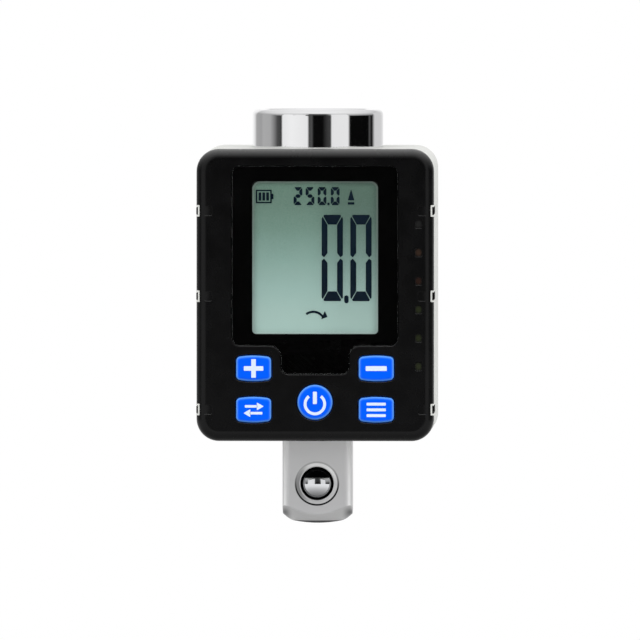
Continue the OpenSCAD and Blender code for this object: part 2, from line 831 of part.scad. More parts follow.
module main_chip() {
    body = 7;
    body_t = 1.2;
    lead = 0.9;
    pins = 8;
    pitch = 0.8;
    pin_w = 0.35;
    pin_t = 0.2;
    color("#1a1a1c") on_board(main_chip_share) {
        block(-body / 2, body / 2, 0, body_t, -body / 2, body / 2);
        for (a = [0, 90, 180, 270], i = [0 : pins - 1])
            rotate([0, a, 0]) block((i - (pins - 1) / 2) * pitch - pin_w / 2,
                (i - (pins - 1) / 2) * pitch + pin_w / 2, 0, pin_t,
                body / 2 - eps, body / 2 + lead);
    }
}

module amplifier_chip() {
    body_w = 4;
    body_h = 5;
    body_t = 1.4;
    pins = 4;
    pitch = 1.27;
    pin_w = 0.4;
    pin_t = 0.2;
    lead = 1;
    color("#1a1a1c") on_board(amplifier_share) {
        block(-body_w / 2, body_w / 2, 0, body_t, -body_h / 2, body_h / 2);
        for (s = [-1, 1], i = [0 : pins - 1])
            block(min(s * (body_w / 2 - eps), s * (body_w / 2 + lead)),
                max(s * (body_w / 2 - eps), s * (body_w / 2 + lead)), 0, pin_t,
                (i - (pins - 1) / 2) * pitch - pin_w / 2, (i - (pins - 1) / 2) * pitch + pin_w / 2);
    }
}

module chip_parts() {
    part_w = 0.8;
    part_h = 1.6;
    part_t = 0.6;
    color("#c9b48a") for (share = chip_part_shares)
        on_board(share) block(-part_w / 2, part_w / 2, 0, part_t, -part_h / 2, part_h / 2);
}

module led_chips() {
    color("#f2ead0") for (i = [0 : light_count - 1])
        translate([light_x, board_y - chip_t, case_top - light_top - i * light_pitch])
            block(-chip_w / 2, chip_w / 2, 0, chip_t, -chip_h / 2, chip_h / 2);
}

module light_windows() {
    color("#3a3330", 0.8) for (i = [0 : light_count - 1]) {
        light_block(i, 0, front_y, cover_back + eps);
        light_block(i, light_foot, cover_back, cover_back + light_foot_t);
    }
}

module tact_switches() {
    color("#2a2b2e") for (i = [0 : 4]) {
        p = button_place(i);
        difference() {
            block(p[0] - switch_w / 2, p[0] + switch_w / 2, switch_top, board_y,
                p[1] - switch_w / 2, p[1] + switch_w / 2);
            bar_y(plunger_r + plunger_clear, p[0], p[1], switch_top - eps, switch_top + switch_well);
        }
    }
}

module buzzer() {
    color("#141416") difference() {
        bar_y(buzzer_r, buzzer_x, case_top - buzzer_drop, board_back, board_back + buzzer_h);
        bar_y(buzzer_hole_r, buzzer_x, case_top - buzzer_drop, board_back + buzzer_h / 2,
            board_back + buzzer_h + eps);
    }
}

module board_screws() {
    slot_w = 0.45;
    slot_d = 0.5;
    color("#9a9da1") for (sx = [-1, 1], z = [post_top, post_bottom])
        difference() {
            union() {
                bar_y(screw_head_r, sx * post_x, z, board_back, board_back + screw_head_h);
                bar_y(screw_r, sx * post_x, z, board_y - screw_bite + 3 * touch, board_back + eps);
            }
            for (a = [0, 90])
                translate([sx * post_x, board_back + screw_head_h, z]) rotate([0, a, 0])
                    cube([screw_head_r, 2 * slot_d, slot_w], center = true);
        }
}

module button_increase() {
    color(blue) button_cap(0);
}

module button_decrease() {
    color(blue) button_cap(1);
}

module button_unit() {
    color(blue) button_cap(2);
}

module button_mode() {
    color(blue) button_cap(3);
}

module button_power() {
    color(blue) button_cap(4);
}

module plunger_increase() {
    color("#d9d4c8") plunger(0);
}

module plunger_decrease() {
    color("#d9d4c8") plunger(1);
}

module plunger_unit() {
    color("#d9d4c8") plunger(2);
}

module plunger_mode() {
    color("#d9d4c8") plunger(3);
}

module plunger_power() {
    color("#d9d4c8") plunger(4);
}

module cells() {
    color("#3c6e58") for (s = [-1, 1])
        translate([s * cell_x, cell_y, 0]) {
            nub_z = s < 0 ? cell_top_in : cell_low_in;
            body_near = nub_z + s * nub_h;
            body_far = nub_z + s * cell_len;
            disc_z(cell_r, min(body_near, body_far), max(body_near, body_far));
            disc_z(nub_r, min(nub_z, body_near + s * eps), max(nub_z, body_near + s * eps));
        }
}

module bridge_contact() {
    color("#c7c9c4") {
        for (s = [-1, 1]) translate([s * cell_x, cell_y, 0])
            block(-contact_pad, contact_pad, -contact_pad, contact_pad + contact_tail,
                inner_top - contact_t, inner_top);
        block(-cell_x, cell_x, bridge_front, bridge_back, inner_top - contact_t, inner_top);
        translate([-cell_x, cell_y, 0]) disc_z(contact_bump_r, cell_top_in, inner_top);
    }
}

module end_contacts() {
    color("#c7c9c4") {
        for (s = [-1, 1]) {
            translate([s * cell_x, cell_y, 0]) block(-contact_pad, contact_pad, -contact_pad,
                contact_pad + contact_tail, inner_bottom, inner_bottom + contact_t);
            translate([s * tag_x, 0, 0]) block(-tag_w / 2, tag_w / 2, tag_end, cell_y,
                inner_bottom, inner_bottom + contact_t);
        }
        translate([cell_x, cell_y, 0]) disc_z(contact_bump_r, inner_bottom, cell_low_in);
    }
}

module contact_springs() {
    low_z = inner_bottom + contact_t;
    low_h = cell_top_in - cell_len - low_z;
    high_z = inner_top - contact_t;
    high_h = high_z - (cell_low_in + cell_len);
    color("#d2d4d0") {
        translate([-cell_x, cell_y, low_z]) wound(coil_big_r, coil_small_r, coil_wire_r, coil_turns, low_h);
        translate([cell_x, cell_y, high_z]) mirror([0, 0, 1])
            wound(coil_big_r, coil_small_r, coil_wire_r, coil_turns, high_h);
    }
}

module power_leads() {
    solder_z = board_bottom + solder_lift;
    low = inner_bottom + contact_t + lead_r;
    color("#a02c24") for (s = [-1, 1])
        lead([s * tag_x, tag_end + tag_w / 2, low], [s * tag_x, tag_end - lead_bow, low],
            [s * tag_x, board_back + lead_bow, solder_z], [s * tag_x, board_back, solder_z], lead_r);
}

module screw_insert() {
    color("#b8963c") difference() {
        bar_y(insert_r, 0, door_screw_z, insert_back, insert_front);
        bar_y(shank_r + shank_clear, 0, door_screw_z, insert_back - eps, insert_front + eps);
    }
}

module battery_door() {
    color(shell) difference() {
        union() {
            case_plate(inner_w - 2 * door_clear, inner_h - 2 * door_clear,
                inner_corner_r - door_clear, door_y, rear_y);
            for (s = [0, 1]) mirror([s, 0, 0])
                block(rib_out - rib_w, rib_out, door_y - rib_reach, door_y + eps,
                    inner_bottom + rib_end_gap, inner_top - rib_end_gap);
        }
        bar_y(door_head_r + door_head_clear, 0, door_screw_z, rear_y - door_sink, rear_y + eps);
        bar_y(door_hole_r, 0, door_screw_z, door_y - eps, rear_y);
    }
}

module door_screw() {
    slot_w = 0.6;
    slot_d = 0.6;
    slot_len = 3.2;
    head_y = rear_y - door_sink + door_head_gap;
    color("#8f9296") difference() {
        union() {
            bar_y(door_head_r, 0, door_screw_z, head_y, head_y + door_head_h);
            bar_y(shank_r, 0, door_screw_z, insert_back + door_clear, head_y + eps);
        }
        for (a = [0, 90])
            translate([0, head_y + door_head_h, door_screw_z]) rotate([0, a, 0])
                cube([slot_len, 2 * slot_d, slot_w], center = true);
    }
}

module screw_keeper() {
    color("#5a5c60") difference() {
        bar_y(keeper_r, 0, door_screw_z, door_y - keeper_gap - keeper_t, door_y - keeper_gap);
        bar_y(shank_r, 0, door_screw_z, door_y - keeper_gap - keeper_t - eps, door_y);
    }
}

drive_shaft();
strain_gauges();
gauge_leads();
upper_seal();
retaining_ring();
thrust_washer();
detent_ball();
detent_spring();
rear_housing();
front_cover();
display_window();
window_mask();
lcd_glass();
lcd_frame();
zebra_strip();
main_board();
main_chip();
amplifier_chip();
chip_parts();
led_chips();
light_windows();
tact_switches();
buzzer();
board_screws();
button_increase();
button_decrease();
button_unit();
button_mode();
button_power();
plunger_increase();
plunger_decrease();
plunger_unit();
plunger_mode();
plunger_power();
cells();
bridge_contact();
end_contacts();
contact_springs();
power_leads();
screw_insert();
battery_door();
door_screw();
screw_keeper();
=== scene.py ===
"""Dressed visual model of a digital torque adapter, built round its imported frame."""

import logging
import math
from dataclasses import dataclass, field
from enum import Enum
from typing import Callable, Sequence

import bmesh
import bpy
from mathutils import Matrix, Vector

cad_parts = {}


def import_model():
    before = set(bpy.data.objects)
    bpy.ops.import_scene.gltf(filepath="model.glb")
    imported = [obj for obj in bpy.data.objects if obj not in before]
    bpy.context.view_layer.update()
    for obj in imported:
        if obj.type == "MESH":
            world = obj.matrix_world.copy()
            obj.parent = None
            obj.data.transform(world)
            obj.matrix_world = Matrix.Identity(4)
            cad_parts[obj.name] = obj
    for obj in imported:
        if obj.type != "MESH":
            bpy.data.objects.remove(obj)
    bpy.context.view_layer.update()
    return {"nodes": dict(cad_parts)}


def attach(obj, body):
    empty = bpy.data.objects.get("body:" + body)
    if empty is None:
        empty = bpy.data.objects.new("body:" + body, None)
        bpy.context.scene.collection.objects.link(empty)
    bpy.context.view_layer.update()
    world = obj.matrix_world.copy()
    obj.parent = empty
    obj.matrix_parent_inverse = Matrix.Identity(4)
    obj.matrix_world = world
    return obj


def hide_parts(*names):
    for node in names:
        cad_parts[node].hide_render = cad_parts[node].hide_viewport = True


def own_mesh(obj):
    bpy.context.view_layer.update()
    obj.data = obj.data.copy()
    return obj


LOG = logging.getLogger("torque_adapter")
MM = 0.001  # metres in a millimetre; all lengths below are in millimetres unless they say otherwise
TINY = 0.002  # least radius of an outline's corner
OUTSIDE = 1.0  # how far a cutter reaches past the face that it opens
FRONT = -20.0  # depth of the case's front face
MIDDLE = -33.6  # height of the case's middle
FULL_TURN = 2 * math.pi
COIL_STEPS = 28  # chords in one turn of a coil

Pair = tuple[float, float]
Triple = tuple[float, float, float]
Colour = tuple[float, float, float, float]
Outline = Callable[[float], list[Pair]]

BLACK: Colour = (0.0, 0.0, 0.0, 1.0)
WHITE: Colour = (1.0, 1.0, 1.0, 1.0)


def tone(red: float, green: float, blue: float) -> Colour:
    """Turns a colour of 0 to 255 steps, as a screen shows it, into a linear one.

    Args:
        red: Red step.
        green: Green step.
        blue: Blue step.

    Returns:
        The linear colour with full opacity.
    """
    def linear(step: float) -> float:
        """Returns one linear channel."""
        share = step / 255
        return share / 12.92 if share <= 0.04045 else ((share + 0.055) / 1.055) ** 2.4

    return linear(red), linear(green), linear(blue), 1.0


def grey(level: float) -> Colour:
    """Returns a linear grey."""
    return level, level, level, 1.0


def scaled(colour: Colour, factor: float) -> Colour:
    """Returns a colour made lighter or darker, and never lighter than white."""
    return tuple(min(channel * factor, 1.0) for channel in colour[:3]) + (1.0,)


def on_circle(centre: Pair, radius: float, turn: float) -> Pair:
    """Returns the point of a circle at a turn in radians."""
    return centre[0] + radius * math.cos(turn), centre[1] + radius * math.sin(turn)


def quarter(steps: int) -> list[float]:
    """Returns the turns of a quarter circle's points."""
    return [math.pi / 2 * step / steps for step in range(steps + 1)]


class Axis(Enum):
    """Direction along which a stack of outlines grows."""

    X = 0
    Y = 1
    Z = 2

    def place(self, u: float, v: float, depth: float) -> Vector:
        """Puts an outline's point at a depth along this direction.

        Args:
            u: First coordinate of the outline.
            v: Second coordinate of the outline.
            depth: Distance along the direction.

        Returns:
            The point in space.
        """
        if self is Axis.X:
            return Vector((depth, u, v))
        if self is Axis.Y:
            return Vector((u, depth, v))
        return Vector((u, v, depth))


def rounded_path(corners: Sequence[Triple], rim: float, steps: int) -> list[Pair]:
    """Rounds the corners of a counter-clockwise outline that is grown by a rim.

    Args:
        corners: Each corner's two coordinates and its radius.
        rim: Distance by which the outline grows.
        steps: Number of chords in each corner.

    Returns:
        The outline's points, as many for every rim.
    """
    points: list[Pair] = []
    count = len(corners)
    for index in range(count):
        before, here, after = (Vector(corners[(index + shift) % count][:2]) for shift in (-1, 0, 1))
        run_in = (here - before).normalized()
        run_out = (after - here).normalized()
        normal_in = Vector((run_in.y, -run_in.x))
        normal_out = Vector((run_out.y, -run_out.x))
        side = 1 if run_in.x * run_out.y - run_in.y * run_out.x > 0 else -1
        corner = here + rim * (normal_in + normal_out) / (1 + normal_in.dot(normal_out))
        radius = max(corners[index][2] + side * rim, TINY)
        turn = side * normal_in.angle(normal_out)
        reach = radius * math.tan(abs(turn) / 2)
        centre = corner - run_in * reach - normal_in * radius * side
        for step in range(steps + 1):
            spoke = Matrix.Rotation(turn * step / steps, 2) @ normal_in
            points.append(tuple(centre + side * radius * spoke))
    return points


def rounded_box(width: float, height: float, radius: float, centre: Pair = (0.0, 0.0),
                steps: int = 8) -> Outline:
    """Makes the outline of a rectangle with rounded corners.

    Args:
        width: Width across.
        height: Height.
        radius: Corner radius.
        centre: Middle of the rectangle.
        steps: Number of chords in each corner.

    Returns:
        The outline, as a function of its rim.
    """
    x, z = centre
    half_w, half_h = width / 2, height / 2
    corners = [(x - half_w, z - half_h, radius), (x + half_w, z - half_h, radius),
               (x + half_w, z + half_h, radius), (x - half_w, z + half_h, radius)]
    return lambda rim: rounded_path(corners, rim, steps)


def polygon(corners: Sequence[Pair], radius: float = 0.06, steps: int = 2) -> Outline:
    """Makes the outline of a polygon with one small radius at all its corners.

    Args:
        corners: Corners, counter-clockwise.
        radius: Radius at every corner.
        steps: Number of chords in each corner.

    Returns:
        The outline, as a function of its rim.
    """
    return lambda rim: rounded_path([(u, v, radius) for u, v in corners], rim, steps)


def disc(centre: Pair = (0.0, 0.0), steps: int = 64) -> Outline:
    """Makes a circle's outline, whose rim is its radius.

    Args:
        centre: Middle of the circle.
        steps: Number of chords.

    Returns:
        The outline, as a function of its radius.
    """
    turns = [FULL_TURN * step / steps for step in range(steps)]
    return lambda rim: [on_circle(centre, rim, turn) for turn in turns]


def arc_band(centre: Pair, radius: float, width: float, start: float, end: float,
             steps: int = 40) -> Outline:
    """Makes the outline of a part of a ring.

    Args:
        centre: Middle of the ring.
        radius: Outer radius.
        width: Width of the band.
        start: Angle at which it starts, in degrees.
        end: Angle at which it ends, in degrees.
        steps: Number of chords along it.

    Returns:
        The outline, which keeps its size whatever the rim.
    """
    turns = [math.radians(start + (end - start) * step / steps) for step in range(steps + 1)]
    outer = [on_circle(centre, radius, turn) for turn in turns]
    inner = [on_circle(centre, radius - width, turn) for turn in reversed(turns)]
    return lambda rim: outer + inner


def rounding(edge: float, radius: float, inward: int, steps: int = 6) -> list[Pair]:
    """Gives the levels of a rounded edge, from the flat face to the side.

    Args:
        edge: Depth of the flat face.
        radius: Radius of the rounding.
        inward: 1 where the solid lies at greater depths, otherwise -1.
        steps: Number of chords.

    Returns:
        Pairs of depth and rim.
    """
    return [(edge + inward * radius * (1 - math.cos(turn)), -radius * (1 - math.sin(turn)))
            for turn in quarter(steps)]


def flare(edge: float, radius: float, deep: float, rim: float = 0.0) -> list[Pair]:
    """Gives the levels of a cutter that leaves a rounded edge round its opening.

    Args:
        edge: Depth of the face that it enters.
        radius: Radius left at the opening's edge.
        deep: Depth of the cutter's far end.
        rim: Rim of the opening below its rounded edge.

    Returns:
        Pairs of depth and rim.
    """
    inward = 1 if deep > edge else -1
    bend = [(edge + inward * radius * (1 - math.cos(turn)), rim + radius * (1 - math.sin(turn)))
            for turn in quarter(4)]
    return [(edge - inward * OUTSIDE, rim + radius), *bend, (deep, rim)]


def stand(name: str, data: bpy.types.ID) -> bpy.types.Object:
    """Adds an object to the scene.

    Args:
        name: The object's name.
        data: Its mesh, camera or lamp.

    Returns:
        The new object.
    """
    made = bpy.data.objects.new(name, data)
    bpy.context.scene.collection.objects.link(made)
    return made


class Form:
    """One mesh in the making, in millimetres.

    Edges that bend by more than the crease, in degrees, stay sharp.
    """

    crease: float = 32.0

    def __init__(self) -> None:
        """Starts with nothing."""
        self.mesh = bmesh.new()

    def loft(self, rings: Sequence[Sequence[Vector]], looped: bool = False) -> "Form":
        """Skins rings of equal length and closes both ends, or joins the last ring to the first.

        Args:
            rings: Rings of points.
            looped: Whether the last ring joins the first.

        Returns:
            This form.
        """
        rows = [[self.mesh.verts.new(point) for point in ring] for ring in rings]
        pairs = list(zip(rows, rows[1:])) + ([(rows[-1], rows[0])] if looped else [])
        for low, high in pairs:
            for index in range(len(low)):
                follow = (index + 1) % len(low)
                self.mesh.faces.new((low[index], low[follow], high[follow], high[index]))
        if not looped:
            self.mesh.faces.new(rows[0][::-1])
            self.mesh.faces.new(rows[-1])
        return self

    def stack(self, outline: Outline, levels: Sequence[Pair], axis: Axis = Axis.Y,
              looped: bool = False) -> "Form":
        """Skins one outline at several depths and rims.

        Args:
            outline: Outline as a function of its rim.
            levels: Pairs of depth and rim.
            axis: Direction of the depths.
            looped: Whether the last level joins the first.

        Returns:
            This form.
        """
        rings = [[axis.place(u, v, depth) for u, v in outline(rim)] for depth, rim in levels]
        return self.loft(rings, looped)

    def tube(self, path: Sequence[Vector], radius: float, sides: int = 12) -> "Form":
        """Skins a round tube along a path.

        Args:
            path: Points of its middle line.
            radius: Radius of the tube.
            sides: Number of sides.

        Returns:
            This form.
        """
        rings: list[list[Vector]] = []
        across: Vector | None = None
        last = len(path) - 1
        for index, point in enumerate(path):
            run = (path[min(index + 1, last)] - path[max(index - 1, 0)]).normalized()
            across = run.orthogonal() if across is None else across - run * across.dot(run)
            across.normalize()
            other = run.cross(across)
            turns = [FULL_TURN * side / sides for side in range(sides)]
            rings.append([point + radius * (math.cos(turn) * across + math.sin(turn) * other)
                          for turn in turns])
        return self.loft(rings)

    def scratch(self) -> bpy.types.Object:
        """Puts this mesh on a short-lived object.

        Returns:
            The object.
        """
        bmesh.ops.recalc_face_normals(self.mesh, faces=self.mesh.faces)
        mesh = bpy.data.meshes.new("scratch")
        self.mesh.to_mesh(mesh)
        return stand("scratch", mesh)

    def carve(self, cutter: "Form") -> "Form":
        """Takes another form away from this one.

        Args:
            cutter: What is taken away.

        Returns:
            This form.
        """
        body, tool = self.scratch(), cutter.scratch()
        change = body.modifiers.new("carve", "BOOLEAN")
        change.operation = "DIFFERENCE"
        change.solver = "EXACT"
        change.object = tool
        ready = body.evaluated_get(bpy.context.evaluated_depsgraph_get())
        result = bpy.data.meshes.new_from_object(ready)
        self.mesh.free()
        self.mesh = bmesh.new()
        self.mesh.from_mesh(result)
        bpy.data.meshes.remove(result)
        for used in (body, tool):
            mesh = used.data
            bpy.data.objects.remove(used)
            bpy.data.meshes.remove(mesh)
        cutter.mesh.free()
        return self

    def piece(self, name: str, body: str, slot: str, finish: "Finish",
              replaces: Sequence[str] = ()) -> bpy.types.Object:
        """Turns the form into a finished piece that rides on a body.

        Args:
            name: The piece's name.
            body: Body it rides on.
            slot: Material slot of the record; not used.
            finish: Its surface.
            replaces: CAD nodes that it stands for.

        Returns:
            The new object.
        """
        bmesh.ops.remove_doubles(self.mesh, verts=self.mesh.verts, dist=TINY / 10)
        bmesh.ops.dissolve_degenerate(self.mesh, edges=self.mesh.edges, dist=TINY / 20)
        bmesh.ops.recalc_face_normals(self.mesh, faces=self.mesh.faces)
        self.mesh.transform(Matrix.Scale(MM, 4))
        for face in self.mesh.faces:
            face.smooth = True
        mesh = bpy.data.meshes.new(name)
        self.mesh.to_mesh(mesh)
        self.mesh.free()
        mesh.set_sharp_from_angle(angle=math.radians(self.crease))
        made = stand(name, mesh)
        even = made.modifiers.new("even_shading", "WEIGHTED_NORMAL")
        even.keep_sharp = True
        made.data.materials.append(finish.material())
        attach(made, body)
        if replaces:
            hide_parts(*replaces)
        LOG.info("built %s on %s", name, body)
        return made


class Signal:
    """A number that flows out of a node, with arithmetic that adds Math nodes."""

    def __init__(self, graph: "Graph", socket: bpy.types.NodeSocket) -> None:
        """Keeps the output socket and its graph."""
        self.graph = graph
        self.socket = socket

    def math(self, operation: str, first: "Number", second: "Number" = 0.0) -> "Signal":
        """Adds a Math node.

        Args:
            operation: The node's operation.
            first: First value or signal.
            second: Second value or signal.

        Returns:
            The node's result.
        """
        made = self.graph.node("ShaderNodeMath", {"operation": operation}, {0: first, 1: second})
        return Signal(self.graph, made.outputs[0])

    def __add__(self, other: "Number") -> "Signal":
        """Returns the sum."""
        return self.math("ADD", self, other)

    def __radd__(self, other: "Number") -> "Signal":
        """Returns the sum."""
        return self.math("ADD", other, self)

    def __sub__(self, other: "Number") -> "Signal":
        """Returns the difference."""
        return self.math("SUBTRACT", self, other)

    def __rsub__(self, other: "Number") -> "Signal":
        """Returns the difference."""
        return self.math("SUBTRACT", other, self)

    def __mul__(self, other: "Number") -> "Signal":
        """Returns the product."""
        return self.math("MULTIPLY", self, other)

    def __rmul__(self, other: "Number") -> "Signal":
        """Returns the product."""
        return self.math("MULTIPLY", other, self)

    def __abs__(self) -> "Signal":
        """Returns the size without its sign."""
        return self.math("ABSOLUTE", self)

    def most(self, other: "Number") -> "Signal":
        """Returns the greater of two values."""
        return self.math("MAXIMUM", self, other)

    def span(self, other: "Signal") -> "Signal":
        """Returns the length that this value and another one square to it span."""
        return self.math("SQRT", self * self + other * other)

    def part(self, share: float) -> "Signal":
        """Returns a value from 0 to 1 brought nearer to 1, so that a share of its change is left."""
        return self * share + (1 - share)

    def spread(self, low: float, high: float, start: float = 0.0, end: float = 1.0) -> "Signal":
        """Maps a range smoothly to another and clamps it there.

        Args:
            low: Start of the range that comes in.
            high: End of the range that comes in.
            start: Result at the low end.
            end: Result at the high end.

        Returns:
            The mapped value.
        """
        made = self.graph.node("ShaderNodeMapRange", {"interpolation_type": "SMOOTHSTEP"},
                               {0: self, 1: low, 2: high, 3: start, 4: end})
        return Signal(self.graph, made.outputs[0])


Number = Signal | float


class Graph:
    """The node tree of one material or world.

    Edges count as rounded between the two slopes away from the axes.
    """

    edge_slopes: Pair = (0.03, 0.25)

    def __init__(self, tree: bpy.types.NodeTree) -> None:
        """Empties the tree."""
        self.tree = tree
        tree.nodes.clear()

    def node(self, kind: str, settings: dict[str, object] | None = None,
             inputs: dict[str | int, object] | None = None) -> bpy.types.Node:
        """Adds a node.

        Args:
            kind: The node's type.
            settings: Its settings, set first, with a ramp's stops under the name stops.
            inputs: Values or signals of its sockets, by name or number.

        Returns:
            The new node.
        """
        made = self.tree.nodes.new(kind)
        for name, value in (settings or {}).items():
            if name == "stops":
                elements = made.color_ramp.elements
                while len(elements) > 1:
                    elements.remove(elements[0])
                for index, (place, colour) in enumerate(value):
                    element = elements[0] if index == 0 else elements.new(place)
                    element.position = place
                    element.color = colour
            else:
                setattr(made, name, value)
        for name, value in (inputs or {}).items():
            if isinstance(value, Signal):
                self.tree.links.new(value.socket, made.inputs[name])
            else:
                made.inputs[name].default_value = value
        return made

    def out(self, made: bpy.types.Node, output: int | str = 0) -> Signal:
        """Returns one output of a node as a signal."""
        return Signal(self, made.outputs[output])

    def mix(self, share: Number, first: object, second: object) -> Signal:
        """Mixes two colours.

        Args:
            share: Share of the second colour.
            first: First colour or signal.
            second: Second colour or signal.

        Returns:
            The mixed colour.
        """
        made = self.node("ShaderNodeMix", {"data_type": "RGBA"}, {0: share, 6: first, 7: second})
        return self.out(made, 2)

    def ramp(self, stops: Sequence[tuple[float, Colour]], place: Signal) -> Signal:
        """Returns the colour that a ramp of stops gives a value."""
        return self.out(self.node("ShaderNodeValToRGB", {"stops": stops}, {0: place}))

    def rays(self) -> tuple[Signal, Signal]:
        """Returns 1 where the camera looks, and 1 where a glossy surface does."""
        path = self.node("ShaderNodeLightPath")
        return self.out(path, "Is Camera Ray"), self.out(path, "Is Glossy Ray")

    def place(self, kind: str) -> Signal:
        """Returns one kind of texture coordinates, such as Object or Normal."""
        return self.out(self.node("ShaderNodeTexCoord"), kind)

    def parts(self, vector: Signal) -> list[Signal]:
        """Returns the three parts of a vector."""
        made = self.node("ShaderNodeSeparateXYZ", inputs={0: vector})
        return [self.out(made, axis.value) for axis in Axis]

    def along(self, axis: Axis) -> Signal:
        """Returns the place on the object along one axis, in millimetres."""
        return self.parts(self.place("Object"))[axis.value] * (1 / MM)

    def facing(self, axis: Axis) -> Signal:
        """Returns how far the surface faces along one axis of the object."""
        return self.parts(self.place("Normal"))[axis.value]

    def edges(self) -> Signal:
        """Returns 1 on rounded edges and corners, and 0 on faces square to the axes."""
        across, along, up = (abs(part) for part in self.parts(self.place("Normal")))
        return (1 - across.most(along).most(up)).spread(*self.edge_slopes)

    def noise(self, size: float, stretch: Triple = (1.0, 1.0, 1.0), detail: float = 2.0) -> Signal:
        """Returns noise from 0 to 1.

        Args:
            size: Size of its features in millimetres.
            stretch: How much finer it is along each axis.
            detail: Number of finer layers.

        Returns:
            The noise.
        """
        place = self.node("ShaderNodeVectorMath", {"operation": "MULTIPLY"},
                          {0: self.place("Object"), 1: stretch})
        return self.out(self.node("ShaderNodeTexNoise", None, {
            "Vector": self.out(place), "Scale": 1 / (size * MM), "Detail": detail}))

    def bump(self, height: Signal, depth: float, under: Signal | None = None) -> Signal:
        """Returns a normal bent by a height.

        Args:
            height: Height from 0 to 1.
            depth: Depth of the relief in millimetres.
            under: Normal that is bent, the surface's own without it.

        Returns:
            The bent normal.
        """
        inputs: dict[str | int, object] = {"Strength": 1.0, "Distance": depth * MM, "Height": height}
        if under is not None:
            inputs["Normal"] = under
        return self.out(self.node("ShaderNodeBump", None, inputs))


def painted(title: str) -> tuple[bpy.types.Material, Graph]:
    """Returns a new material and its empty graph."""
    made = bpy.data.materials.new(title)
    made.use_nodes = True
    return made, Graph(made.node_tree)


@dataclass(frozen=True)
class Finish:
    """A surface with grain, uneven gloss, mottled colour and worn edges.

    Metals are the same with their metallic share set, and brushed ones stretch the grain. The
    sizes are those of the colour's clouds, of the smears in the gloss and of the patches of wear,
    and the pairs say which part of their noise shows.
    """

    name: str
    colour: Colour
    roughness: float = 0.42
    uneven: float = 0.07
    mottle: float = 0.08
    metallic: float = 0.0
    grain: float = 0.14
    relief: float = 0.0015
    stretch: Triple = (1.0, 1.0, 1.0)
    wear: float = 0.12
    worn: Colour = grey(0.9)
    specular: float = 0.5
    coat: float = 0.0
    coat_roughness: float = 0.08
    cloud_size: float = 6.0
    smear_size: float = 3.5
    patch_size: float = 0.8
    clouds: Pair = (0.3, 0.7)
    patches: Pair = (0.35, 0.7)

    def material(self) -> bpy.types.Material:
        """Makes the material, or finds it where it is made already.

        Returns:
            The material.
        """
        title = f"{self.name}_finish"
        known = bpy.data.materials.get(title)
        if known:
            return known
        made, graph = painted(title)
        inputs: dict[str | int, object] = {
            "Metallic": self.metallic, "Specular IOR Level": self.specular,
            "Coat Weight": self.coat, "Coat Roughness": self.coat_roughness}
        inputs.update(self.sockets(graph))
        shader = graph.node("ShaderNodeBsdfPrincipled", None, inputs)
        graph.node("ShaderNodeOutputMaterial", None, {"Surface": graph.out(shader)})
        return made

    def base(self, graph: Graph) -> Signal:
        """Returns the mottled colour with its worn edges.

        Args:
            graph: The material's graph.

        Returns:
            The colour.
        """
        cloud = graph.noise(self.cloud_size, detail=3.0).spread(*self.clouds)
        dark, light = (scaled(self.colour, 1 + sign * self.mottle) for sign in (-1, 1))
        even = graph.mix(cloud, dark, light)
        rub = graph.edges() * graph.noise(self.patch_size).spread(*self.patches) * self.wear
        return graph.mix(rub, even, self.worn)

    def gloss(self, graph: Graph) -> Signal:
        """Returns the uneven roughness.

        Args:
            graph: The material's graph.

        Returns:
            The roughness.
        """
        smear = graph.noise(self.smear_size, detail=4.0).spread(*self.clouds)
        return smear * (2 * self.uneven) + (self.roughness - self.uneven)

    def sockets(self, graph: Graph) -> dict[str | int, object]:
        """Returns what the shader's sockets take.

        Args:
            graph: The material's graph.

        Returns:
            Values and signals by socket.
        """
        grain = graph.noise(self.grain, self.stretch)
        return {"Base Color": self.base(graph), "Roughness": self.gloss(graph),
                "Normal": graph.bump(grain, self.relief)}


